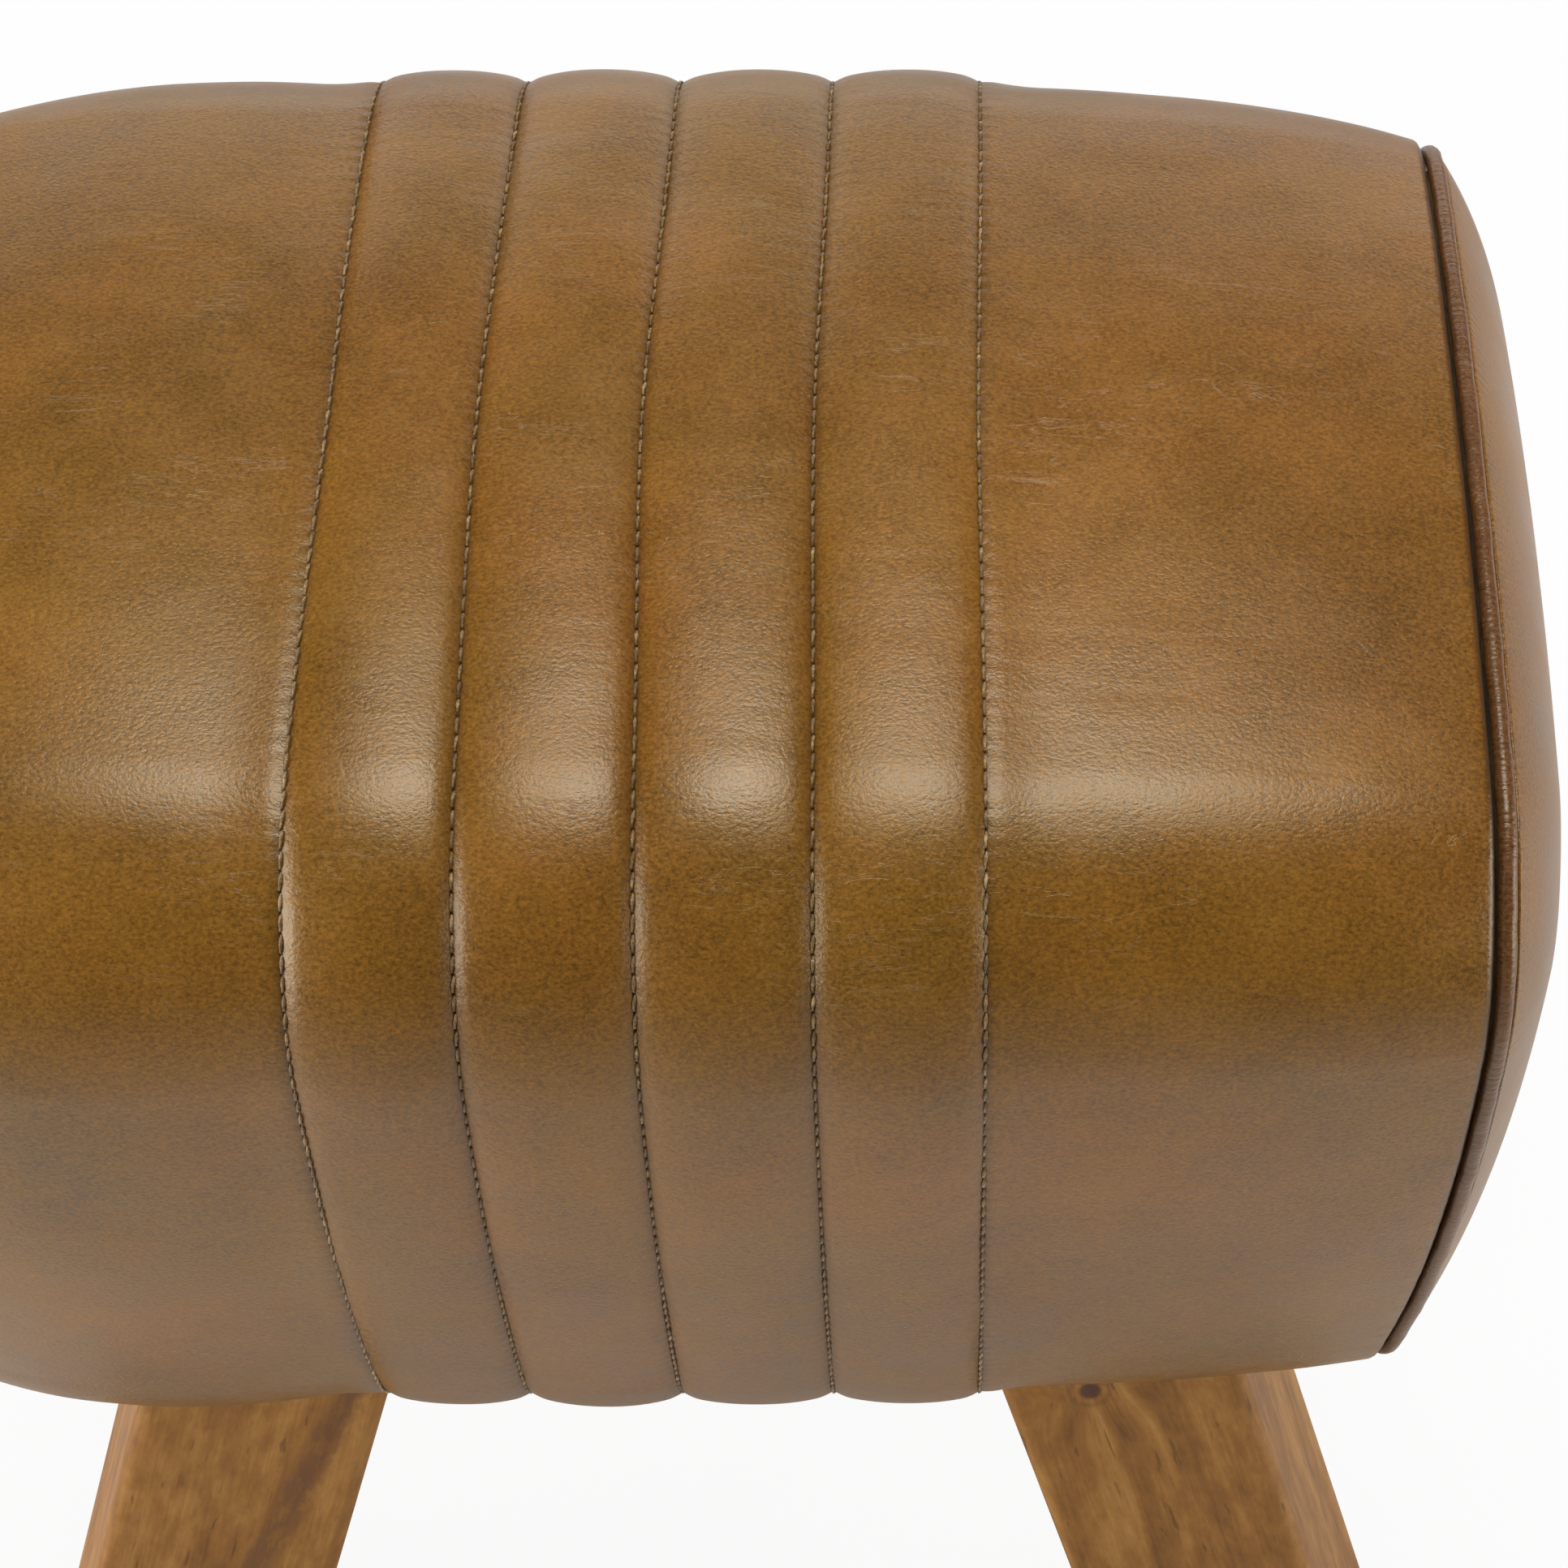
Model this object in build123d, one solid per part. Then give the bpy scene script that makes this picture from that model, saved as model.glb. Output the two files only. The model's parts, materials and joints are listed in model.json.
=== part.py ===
from build123d import *
import math
import os

# A padded leather stool with a ribbed band over a loaf-shaped body and four splayed wooden legs.
# X runs along the body, Y from front to back, Z up. The origin is on the floor under the middle.
# All lengths are in millimetres and all angles in degrees.

# Body section, at the level of the seams
base_height = 190.0
body_height = 289.0
crown_radius = 660.0
shoulder_radius = 62.0
lower_radius = 93.0
base_corner_radius = 37.0
crown_angle = 10.0
shoulder_angle = 92.0
side_angle = 107.0
lower_angle = 130.0
half_turn = 180.0

# Ribbed band across the middle
rib_count = 4
rib_width = 41.0
rib_crown = 3.4
rib_station_shares = (0, 0.25, 0.5, 0.75, 1)

# Plain panels between the ribbed band and the pipings
plain_length = 118.5
seam_step = 2.2
belly_drop = 10.0
end_roll = 1.8
roll_power = 6
step_reach_share = 0.15
plain_station_shares = (0, 0.06, 0.15, 0.4, 0.62, 0.78, 0.88, 0.95, 1)

# Leather, thread and cloth
leather_thickness = 1.5
lay_gap = 0.2
hem_end_width = 10.0
hem_side_width = 32.0
thread_radius = 0.5
wadding_edge = 2.0
wadding_end = 12.0
cloth_thickness = 0.6

# Piping and crowned ends
piping_radius = 3.0
welt_thickness = 1.0
piping_rise = 1.0
piping_clearance = 0.5
end_step = 1.0
end_lift = 1.5
end_crown = 22.5
end_power = 3
end_station_shares = (1, 0.985, 0.955, 0.91, 0.85, 0.77, 0.66, 0.52, 0.36)

# Wooden carcass
base_board_setback = 1.4
base_board_thickness = 18.0
base_board_margin = 2.0
base_board_corner = 45.0
base_board_round = 10.0
deck_thickness = 12.0
board_thickness = 15.0

# Foam
top_foam_depth = 42.0
side_foam_depth = 31.0
end_slab_thickness = 20.5
foam_gap = 0.3
padding_station_shares = (0.2, 0.5, 0.75, 0.9, 1)
slab_station_shares = (0, 0.3, 0.65, 1)

# Legs
leg_width = 73.0
leg_depth = 72.0
leg_end_setback = 27.0
leg_side_setback = 2.0
leg_splay_x = 16.5
leg_splay_y = 13.6
leg_arris_radius = 5.0
leg_clearance = 1.0
foot_chamfer = 2.0

# Leg fixings
block_length = 64.0
block_height = 30.0
block_gap = 2.7
bolt_radius = 4.0
bolt_length = 80.0
bolt_head_radius = 7.5
bolt_head_height = 5.5
bolt_spacing = 24.0
washer_radius = 10.0
washer_thickness = 2.0
insert_radius = 7.0
insert_length = 25.0
pilot_extra = 1.0
fit_clearance = 0.1
hole_clearance = 0.5

# Wood screws of the carcass
screw_radius = 2.0
screw_head_radius = 4.0
screw_head_height = 2.5
screw_length = 45.0
screw_spread = 50.0
screw_end_height = 70.0

# Dust cover, staples and glides
cover_overlap = 8.0
cover_thickness = 0.8
staple_width = 10.0
staple_wire = 1.0
staple_leg = 7.0
staple_inset = 4.0
staple_spacing = 44.0
glide_radius = 15.0
glide_thickness = 3.0
glide_pin_radius = 1.5
glide_pin_length = 16.0
cut_overrun = 1.0

def arc_fall(radius, start, end):
    """Loss of height along an arc of the section, whose angles are counted from straight up."""
    return radius * (math.cos(math.radians(start)) - math.cos(math.radians(end)))


def arc_reach(radius, start, end):
    """Gain in half width along an arc of the section."""
    return radius * (math.sin(math.radians(end)) - math.sin(math.radians(start)))


# Levels and lengths worked out from the sizes above
base_level = base_height
top_level = base_height + body_height
middle_level = base_height + body_height / 2
band_half_length = rib_count * rib_width / 2
plain_end = band_half_length + plain_length
piping_x = plain_end + lay_gap + piping_radius
end_x = piping_x + piping_radius + lay_gap
board_level = base_level + leather_thickness
board_top = board_level + base_board_thickness
deck_top = top_level - top_foam_depth
deck_bottom = deck_top - deck_thickness
carcass_half_length = plain_end - end_slab_thickness
padding_inset = leather_thickness + wadding_edge + cloth_thickness + lay_gap * 3

# The side arc takes up the height that the other arcs of the section leave
crown_fall = arc_fall(crown_radius, 0, crown_angle)
shoulder_fall = arc_fall(shoulder_radius, crown_angle, shoulder_angle)
lower_fall = arc_fall(lower_radius, side_angle, lower_angle)
base_corner_fall = arc_fall(base_corner_radius, lower_angle, half_turn)
side_fall = body_height - crown_fall - shoulder_fall - lower_fall - base_corner_fall
side_radius = side_fall / arc_fall(1, shoulder_angle, side_angle)

# Half widths of the section where it is widest and where its base is flat
crown_reach = arc_reach(crown_radius, 0, crown_angle)
widest_half_width = crown_reach + arc_reach(shoulder_radius, crown_angle, half_turn / 2)
shoulder_reach = arc_reach(shoulder_radius, crown_angle, shoulder_angle)
side_reach = arc_reach(side_radius, shoulder_angle, side_angle)
lower_reach = arc_reach(lower_radius, side_angle, lower_angle)
base_corner_reach = arc_reach(base_corner_radius, lower_angle, half_turn)
flat_half_width = crown_reach + shoulder_reach + side_reach + lower_reach + base_corner_reach

# Carcass, legs and fixings set off from the section and from each other
base_board_half_width = flat_half_width - base_board_setback
carcass_top_half_width = widest_half_width - side_foam_depth
side_tilt = math.atan2(carcass_top_half_width - base_board_half_width, deck_bottom - board_top)
side_board_width = board_thickness / math.cos(side_tilt)
leg_outer_x = carcass_half_length - leg_end_setback
leg_inner_x = leg_outer_x - leg_width
leg_inner_y = base_board_half_width - leg_side_setback - leg_depth
leg_middle_x = leg_inner_x + leg_width / 2
block_outer_y = base_board_half_width - side_board_width - block_gap
bolt_middle_y = (leg_inner_y + block_outer_y) / 2
bolt_seat = board_top + block_height + washer_thickness
bolt_tip = bolt_seat - bolt_length

# Hem, dust cover, pipings and end panels
hem_half_length = carcass_half_length - hem_end_width
hem_half_width = base_board_half_width - hem_side_width
cover_half_length = hem_half_length + cover_overlap
cover_half_width = hem_half_width + cover_overlap
plain_end_drop = seam_step + belly_drop + end_roll
cord_radius = piping_radius - welt_thickness - lay_gap
piping_inset = plain_end_drop - piping_rise
piping_lift = piping_radius + piping_clearance
end_inset = plain_end_drop + end_step

ends = {"left": -1, "right": 1}
sides = {"front": -1, "back": 1}


def save(node, shape):
    """Write one node as a STEP file."""
    export_step(shape, f"parts/{node}.step")


def polar(centre, radius, angle):
    """Point (y, z) on a section arc, whose angle is counted from straight up."""
    turn = math.radians(angle)
    return centre[0] + radius * math.sin(turn), centre[1] + radius * math.cos(turn)


def half_section(offset, base_lift):
    """Arcs of the back half of a body section that is moved out by offset.

    Each arc is centre, radius, start angle and end angle. The last one runs out onto the flat base.
    """
    arcs = []
    centre = (0, top_level - crown_radius)
    radius = crown_radius
    start = 0
    steps = (
        (crown_angle, shoulder_radius),
        (shoulder_angle, side_radius),
        (side_angle, lower_radius),
        (lower_angle, 0),
    )
    for end, next_radius in steps:
        arcs.append((centre, radius + offset, start, end))
        edge = polar(centre, radius + offset, end)
        centre = polar(centre, radius - next_radius, end)
        radius = next_radius
        start = end
    base = base_level + base_lift
    corner = (edge[1] - base) / (1 + math.cos(math.radians(lower_angle)))
    arcs.append((polar(edge, -corner, lower_angle), corner, lower_angle, half_turn))
    return arcs


def section_edges(x, offset, base_lift, share=1):
    """Edges of a whole section at x, from the front crown round the back to the base and home."""
    def place(y, z):
        return Vector(x, y * share, middle_level + (z - middle_level) * share)

    def arc(part, side, start, end):
        centre, radius = part[0], part[1]
        points = [polar(centre, radius, angle) for angle in (start, (start + end) / 2, end)]
        return Edge.make_three_point_arc(*[place(side * y, z) for y, z in points])

    arcs = half_section(offset, base_lift)
    crown = arc(arcs[0], 1, -arcs[0][3], arcs[0][3])
    back = [arc(part, 1, part[2], part[3]) for part in arcs[1:]]
    front = [arc(part, -1, part[3], part[2]) for part in reversed(arcs[1:])]
    base = Edge.make_line(back[-1] @ 1, front[0] @ 0)
    return crown, back, base, front


def section_wire(x, offset, base_lift=0, share=1):
    """Closed outline of the body at x."""
    crown, back, base, front = section_edges(x, offset, base_lift, share)
    return Wire([crown, *back, base, *front])


def open_path(x, offset):
    """Outline of the body at x without its flat base, from the front edge to the back edge."""
    crown, back, base, front = section_edges(x, offset, 0)
    return Wire([*front, crown, *back])


def body_loft(stations, base_lift=0, ruled=False):
    """Closed form through sections that are each given as (x, offset)."""
    wires = [section_wire(x, offset, base_lift) for x, offset in stations]
    return Solid.make_loft(wires, ruled)


def rib_rise(share):
    """Height of a rib's crown above the seams, at a share of the rib's width."""
    radius = (rib_width ** 2 / 4 + rib_crown ** 2) / (2 * rib_crown)
    reach = (share - 0.5) * rib_width
    return math.sqrt(radius ** 2 - reach ** 2) - (radius - rib_crown)


def plain_drop(share):
    """Fall of a plain panel below the seams, at a share of its length from the band."""
    near = max(0, 1 - share / step_reach_share)
    return seam_step * (1 - near ** 2) + belly_drop * share ** 2 + end_roll * share ** roll_power


def plain_stations(side, inset):
    """Sections of a plain panel, moved in by inset."""
    stations = []
    for share in plain_station_shares:
        x = band_half_length + share * plain_length
        stations.append((side * x, -plain_drop(share) - inset))
    return stations


def rib_stations(index, inset):
    """Sections of one rib, moved in by inset."""
    start = index * rib_width - band_half_length
    return [(start + share * rib_width, rib_rise(share) - inset) for share in rib_station_shares]


def block(x_range, y_range, z_range):
    """Rectangular block between low and high places."""
    size = [high - low for low, high in (x_range, y_range, z_range)]
    middle = [(high + low) / 2 for low, high in (x_range, y_range, z_range)]
    return Pos(*middle) * Box(*size)


def both(half_length):
    """Range that reaches equally far to each side of the middle."""
    return -half_length, half_length


def signed(side, low, high):
    """Range from low to high on the side that the sign names."""
    return tuple(sorted((side * low, side * high)))


def corners():
    """Each leg's name and the signs of its X and Y."""
    for side_name, y_sign in sides.items():
        for end_name, x_sign in ends.items():
            yield f"{side_name}_{end_name}", x_sign, y_sign


def leg_shift(level):
    """How far a leg has moved out along X and Y at a level below its top."""
    fall = board_level - level
    return fall * math.tan(math.radians(leg_splay_x)), fall * math.tan(math.radians(leg_splay_y))


def leg_rectangle(x_sign, y_sign, level, clearance=0):
    """Outline of a leg where a level plane cuts it."""
    shift_x, shift_y = leg_shift(level)
    x_middle = leg_middle_x + shift_x
    y_middle = leg_inner_y + leg_depth / 2 + shift_y
    place = Pos(x_sign * x_middle, y_sign * y_middle, level)
    return place * Rectangle(leg_width + 2 * clearance, leg_depth + 2 * clearance)


def bolt_places(x_sign, y_sign):
    """Places of the two bolts of a leg."""
    for step in (-1, 1):
        yield x_sign * leg_middle_x, y_sign * (bolt_middle_y + step * bolt_spacing / 2)


def drill(x, y, radius, low, high):
    """Upright round bar or hole between two levels."""
    return Pos(x, y, (low + high) / 2) * Cylinder(radius, high - low)


def fuse(shapes):
    """One shape from touching pieces."""
    first, *rest = shapes
    for shape in rest:
        first = first + shape
    return first


def make_leg(x_sign, y_sign):
    """Splayed square leg with softened arrises, bored for its inserts and its glide."""
    top = leg_rectangle(x_sign, y_sign, board_level)
    foot = leg_rectangle(x_sign, y_sign, glide_thickness)
    leg = loft([top, foot], ruled=True)
    slanted = [edge for edge in leg.edges() if abs(edge.tangent_at(0).Z) > 0.5]
    leg = fillet(slanted, leg_arris_radius)
    leg = chamfer(leg.faces().sort_by(Axis.Z)[0].outer_wire().edges(), foot_chamfer)
    for x, y in bolt_places(x_sign, y_sign):
        low = board_level - insert_length
        leg = leg - drill(x, y, insert_radius + fit_clearance, low, board_level + cut_overrun)
        leg = leg - drill(x, y, bolt_radius + hole_clearance, bolt_tip - pilot_extra, board_level)
    x, y = foot_middle(x_sign, y_sign)
    pin_top = glide_thickness + glide_pin_length + hole_clearance
    return leg - drill(x, y, glide_pin_radius + fit_clearance, 0, pin_top)


def foot_middle(x_sign, y_sign):
    """Middle of a leg's foot."""
    centre = leg_rectangle(x_sign, y_sign, glide_thickness).center()
    return centre.X, centre.Y


def make_glide(x_sign, y_sign):
    """Round glide with the pin that holds it in the foot."""
    x, y = foot_middle(x_sign, y_sign)
    disc = drill(x, y, glide_radius, 0, glide_thickness)
    pin = drill(x, y, glide_pin_radius, glide_thickness, glide_thickness + glide_pin_length)
    return disc + pin


def make_leg_bolt(x, y):
    """Hex bolt that comes down through its washer, block and board into the insert."""
    shank = drill(x, y, bolt_radius, bolt_tip, bolt_seat)
    outline = Pos(x, y, bolt_seat) * RegularPolygon(bolt_head_radius, 6)
    return shank + extrude(outline, bolt_head_height)


def make_washer(x, y):
    """Plain washer on a leg block."""
    low = bolt_seat - washer_thickness
    ring = drill(x, y, washer_radius, low, bolt_seat)
    bore = bolt_radius + fit_clearance
    return ring - drill(x, y, bore, low - cut_overrun, bolt_seat + cut_overrun)


def make_insert(x, y):
    """Threaded sleeve let into the top of a leg."""
    low = board_level - insert_length
    sleeve = drill(x, y, insert_radius, low, board_level)
    return sleeve - drill(x, y, bolt_radius + fit_clearance, low - cut_overrun, board_level + cut_overrun)


def make_leg_block(x_sign, y_sign):
    """Hardwood block on the base board that takes the pull of a leg's bolts."""
    x_range = signed(x_sign, leg_middle_x - block_length / 2, leg_middle_x + block_length / 2)
    y_range = signed(y_sign, leg_inner_y, block_outer_y)
    body = block(x_range, y_range, (board_top, board_top + block_height))
    for x, y in bolt_places(x_sign, y_sign):
        low, high = board_top - cut_overrun, board_top + block_height + cut_overrun
        body = body - drill(x, y, bolt_radius + hole_clearance, low, high)
    return body


def trapezoid(x_range, low_half, high_half, low, high):
    """Board across the carcass, whose edges follow the tilt of the side boards."""
    corners_yz = [(-low_half, low), (low_half, low), (high_half, high), (-high_half, high)]
    outline = Wire.make_polygon([Vector(x_range[0], y, z) for y, z in corners_yz])
    return extrude(Face(outline), x_range[1] - x_range[0], dir=(1, 0, 0))


def side_half_width(level):
    """Half width of the carcass over its side boards at a level."""
    return base_board_half_width + (level - board_top) * math.tan(side_tilt)


def screw(place, direction):
    """Countersunk wood screw with its head's face at place."""
    plane = Plane(place, z_dir=direction)
    head = plane * Pos(0, 0, screw_head_height / 2) * Cone(
        screw_head_radius, screw_radius, screw_head_height
    )
    reach = screw_length - screw_head_height
    shank = plane * Pos(0, 0, screw_head_height + reach / 2) * Cylinder(screw_radius, reach)
    return head + shank


def screw_places():
    """Where the carcass screws go in, and which way they point."""
    inner = carcass_half_length - board_thickness / 2
    edge = board_thickness / 2 / math.cos(side_tilt)
    for x_sign in ends.values():
        for step in (-1, 0, 1):
            yield (x_sign * inner, step * screw_spread, deck_top), (0, 0, -1)
            yield (x_sign * inner, step * screw_spread, board_level), (0, 0, 1)
        for y_sign in sides.values():
            for level in (board_top + screw_end_height / 2, deck_bottom - screw_end_height / 2):
                y = y_sign * (side_half_width(level) - edge)
                yield (x_sign * carcass_half_length, y, level), (-x_sign, 0, 0)


def board_blank():
    """Base board with rounded corners and a softened lower edge, before it is drilled."""
    half_length = carcass_half_length + base_board_margin
    sketch = RectangleRounded(2 * half_length, 2 * base_board_half_width, base_board_corner)
    board = extrude(Pos(0, 0, board_level) * sketch, base_board_thickness)
    return fillet(board.faces().sort_by(Axis.Z)[0].outer_wire().edges(), base_board_round)


def make_base_board(board):
    """Base board drilled for the leg bolts."""
    for name, x_sign, y_sign in corners():
        for x, y in bolt_places(x_sign, y_sign):
            low = board_level - cut_overrun
            board = board - drill(x, y, bolt_radius + hole_clearance, low, board_top + cut_overrun)
    return board


def make_side_board(y_sign):
    """Tilted long board between the end boards."""
    half_length = carcass_half_length - board_thickness
    low, high = board_top, deck_bottom
    outer_low, outer_high = side_half_width(low), side_half_width(high)
    points = [
        (outer_low, low),
        (outer_high, high),
        (outer_high - side_board_width, high),
        (outer_low - side_board_width, low),
    ]
    outline = Wire.make_polygon([Vector(-half_length, y_sign * y, z) for y, z in points])
    return extrude(Face(outline), 2 * half_length, dir=(1, 0, 0))


def make_end_board(x_sign):
    """End board of the carcass."""
    x_range = signed(x_sign, carcass_half_length - board_thickness, carcass_half_length)
    low_half, high_half = side_half_width(board_top), side_half_width(deck_bottom)
    return trapezoid(x_range, low_half, high_half, board_top, deck_bottom)


def make_divider():
    """Board across the middle of the carcass, between the side boards."""
    low_half = side_half_width(board_top) - side_board_width
    high_half = side_half_width(deck_bottom) - side_board_width
    return trapezoid(both(board_thickness / 2), low_half, high_half, board_top, deck_bottom)


def make_deck():
    """Top board that the crown foam lies on."""
    half_width = side_half_width(deck_bottom)
    return block(both(carcass_half_length), both(half_width), (deck_bottom, deck_top))


def foam_station(x_sign, x):
    """Section of the foam under a plain panel at a distance from the middle."""
    drop = plain_drop((x - band_half_length) / plain_length)
    return x_sign * x, -max(drop + leather_thickness + foam_gap, padding_inset)


def make_padding():
    """Outer form of the foam round the carcass, before it is parted into slabs."""
    reach = carcass_half_length - band_half_length
    places = [band_half_length + share * reach for share in padding_station_shares]
    back = [foam_station(-1, x) for x in reversed(places)]
    band = [(x, -padding_inset) for x in both(band_half_length)]
    front = [foam_station(1, x) for x in places]
    return body_loft(back + band + front, leather_thickness + lay_gap, ruled=True)


def make_foam(padding, blank):
    """Top, front and back slabs of foam."""
    low, high = base_level, top_level + rib_crown
    wide, long = both(body_height), both(plain_end)
    top = padding & block(long, wide, (deck_top, high))
    x_range = (-carcass_half_length - cut_overrun, carcass_half_length + cut_overrun)
    low_half, high_half = side_half_width(board_top), side_half_width(deck_bottom)
    core = trapezoid(x_range, low_half, high_half, board_top, deck_bottom)
    core = core + block(x_range, both(high_half), (deck_bottom, deck_top))
    slabs = {"foam_top": top}
    for name, y_sign in sides.items():
        half = padding & block(long, signed(y_sign, 0, body_height), (low, deck_top))
        slabs[f"foam_{name}"] = half - core - blank
    return slabs


def make_end_slab(x_sign, blank):
    """Flat foam slab glued to an end board, out to the piping."""
    places = [carcass_half_length + share * end_slab_thickness for share in slab_station_shares]
    stations = [foam_station(x_sign, x) for x in places]
    return body_loft(stations, leather_thickness + lay_gap, ruled=True) - blank


def end_loft(x_sign, start, inset, lift, crown):
    """Crowned form that closes an end of the body."""
    wires = []
    for share in end_station_shares:
        x = start + crown * (1 - share ** end_power)
        wires.append(section_wire(x_sign * x, -inset, lift, share))
    return Solid.make_loft(wires, False)


def make_end_pad(x_sign):
    """Crown pad with the neck that passes inside the piping and clears it."""
    inset = end_inset + leather_thickness + lay_gap
    lift = end_lift + leather_thickness + lay_gap
    crown = end_crown - leather_thickness - lay_gap
    neck_inset = max(inset, piping_inset + piping_radius + lay_gap)
    neck_lift = max(lift, piping_lift + piping_radius + lay_gap)
    neck = [(x_sign * plain_end, -neck_inset), (x_sign * end_x, -neck_inset)]
    return body_loft(neck, neck_lift, ruled=True) + end_loft(x_sign, end_x, inset, lift, crown)


def make_end_panel(x_sign):
    """Crowned leather panel at an end."""
    outer = end_loft(x_sign, end_x, end_inset, end_lift, end_crown)
    inset = end_inset + leather_thickness
    lift = end_lift + leather_thickness
    inner = end_loft(x_sign, end_x, inset, lift, end_crown - leather_thickness)
    return outer - inner


def sweep_ring(path, radius):
    """Round bar along a section's outline."""
    start = Plane(path @ 0, z_dir=path % 0)
    return sweep(start * Circle(radius), path=path)


def make_piping(x_sign):
    """Leather welt and the cord inside it."""
    path = section_wire(x_sign * piping_x, -piping_inset, piping_lift)
    cover = sweep_ring(path, piping_radius) - sweep_ring(path, cord_radius + lay_gap)
    return cover, sweep_ring(path, cord_radius)


def leg_opening(x_sign, y_sign, low, high):
    """Block that clears a leg where it passes through a cloth or hide."""
    shift_x, shift_y = leg_shift(low)
    x_range = (leg_inner_x - leg_clearance, leg_outer_x + shift_x + leg_clearance)
    y_range = (leg_inner_y - leg_clearance, leg_inner_y + leg_depth + shift_y + leg_clearance)
    return block(signed(x_sign, *x_range), signed(y_sign, *y_range), (low, high))


def base_openings():
    """Blocks that cut the leather away inside its hem and round the legs."""
    low, high = base_level - cut_overrun, board_level + cut_overrun
    openings = [block(both(hem_half_length), both(hem_half_width), (low, high))]
    for name, x_sign, y_sign in corners():
        openings.append(leg_opening(x_sign, y_sign, low, high))
    return openings


def make_dust_cover():
    """Cloth that closes the underside between the legs."""
    level = (base_level - cover_thickness, base_level)
    cover = block(both(cover_half_length), both(cover_half_width), level)
    for name, x_sign, y_sign in corners():
        low, high = level[0] - cut_overrun, level[1] + cut_overrun
        cover = cover - leg_opening(x_sign, y_sign, low, high)
    return cover


def staple_places():
    """Middle of each staple, and whether its crown lies along X."""
    row_x = cover_half_length - staple_inset
    row_y = cover_half_width - staple_inset
    side_x = (leg_outer_x + leg_clearance + cover_half_length) / 2
    for y_sign in sides.values():
        for x in (-side_x, -staple_spacing, 0, staple_spacing, side_x):
            yield x, y_sign * row_y, True
    for x_sign in ends.values():
        for y in (-staple_spacing / 2, staple_spacing / 2):
            yield x_sign * row_x, y, False


def staple_piece(place, middle, size, along_x):
    """Block of a staple, set off along the staple's own crown."""
    x, y = place
    shift, level = middle
    length, width, height = size
    if along_x:
        return Pos(x + shift, y, level) * Box(length, width, height)
    return Pos(x, y + shift, level) * Box(width, length, height)


def staple_legs(x, y, along_x, clearance=0):
    """The two legs of a staple, or with a clearance the holes that they make."""
    low = base_level - cover_thickness - clearance
    high = base_level - cover_thickness + staple_leg + clearance
    size = (staple_wire + 2 * clearance, staple_wire + 2 * clearance, high - low)
    reach = (staple_width - staple_wire) / 2
    level = (low + high) / 2
    return [staple_piece((x, y), (side * reach, level), size, along_x) for side in (-1, 1)]


def make_staple(x, y, along_x):
    """Wire staple, driven up through the cover and the hem into the base board."""
    level = base_level - cover_thickness - staple_wire / 2
    size = (staple_width, staple_wire, staple_wire)
    return fuse([staple_piece((x, y), (0, level), size, along_x), *staple_legs(x, y, along_x)])


def less(shape, tools):
    """A shape with every tool that reaches its box cut away."""
    box = shape.bounding_box()
    for tool in tools:
        other = tool.bounding_box()
        apart = [
            low > top or high < bottom
            for low, high, bottom, top in zip(other.min, other.max, box.min, box.max)
        ]
        if not any(apart):
            shape = shape - tool
    return shape


def make_rib_panel(index, openings):
    """Crowned strip of leather between two seams."""
    outer = body_loft(rib_stations(index, 0))
    inner = body_loft(rib_stations(index, leather_thickness), leather_thickness)
    return less(outer - inner, openings)


def make_plain_panel(side, openings):
    """Leather from the ribbed band to a piping."""
    outer = body_loft(plain_stations(side, 0))
    inner = body_loft(plain_stations(side, leather_thickness), leather_thickness)
    return less(outer - inner, openings)


def make_wadding(index):
    """Padding of one rib, which stops short of the base."""
    inset = leather_thickness + lay_gap
    outer = body_loft(rib_stations(index, inset), inset)
    start = index * rib_width - band_half_length
    reach = (start - cut_overrun, start + rib_width + cut_overrun)
    core = body_loft([(x, -inset - wadding_edge) for x in reach], inset, ruled=True)
    return outer - core - band_floor()


def band_floor():
    """Block below the lower ends of the wadding and its backing."""
    return block(both(plain_end), both(body_height), (0, board_level + wadding_end))


def make_backing():
    """Cloth under the wadding, to which the ribs are sewn."""
    inset = leather_thickness + wadding_edge + 2 * lay_gap
    outer = body_loft([(x, -inset) for x in both(band_half_length)], inset, ruled=True)
    reach = both(band_half_length + cut_overrun)
    core = body_loft([(x, -inset - cloth_thickness) for x in reach], inset, ruled=True)
    return outer - core - band_floor()


def make_thread(index):
    """Line of topstitching in the valley of a seam."""
    x = index * rib_width - band_half_length
    rise = thread_radius + lay_gap / 2
    return sweep_ring(open_path(x, rise), thread_radius)


def save_legs():
    """Legs with their glides, blocks, bolts, washers and inserts."""
    bolts, washers, inserts = [], [], []
    for name, x_sign, y_sign in corners():
        save(f"leg_{name}", make_leg(x_sign, y_sign))
        save(f"glide_{name}", make_glide(x_sign, y_sign))
        save(f"leg_block_{name}", make_leg_block(x_sign, y_sign))
        for x, y in bolt_places(x_sign, y_sign):
            bolts.append(make_leg_bolt(x, y))
            washers.append(make_washer(x, y))
            inserts.append(make_insert(x, y))
    save("leg_bolts", Compound(children=bolts))
    save("leg_washers", Compound(children=washers))
    save("leg_inserts", Compound(children=inserts))


def save_carcass(base_board, staple_holes, screws):
    """Wooden carcass and its screws."""
    boards = {
        "side_board_front": make_side_board(sides["front"]),
        "side_board_back": make_side_board(sides["back"]),
        "end_board_left": make_end_board(ends["left"]),
        "end_board_right": make_end_board(ends["right"]),
        "centre_divider": make_divider(),
        "top_deck": make_deck(),
        "base_board": less(base_board, staple_holes),
    }
    for name, board in boards.items():
        save(name, less(board, screws))
    save("carcass_screws", Compound(children=screws))


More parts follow.
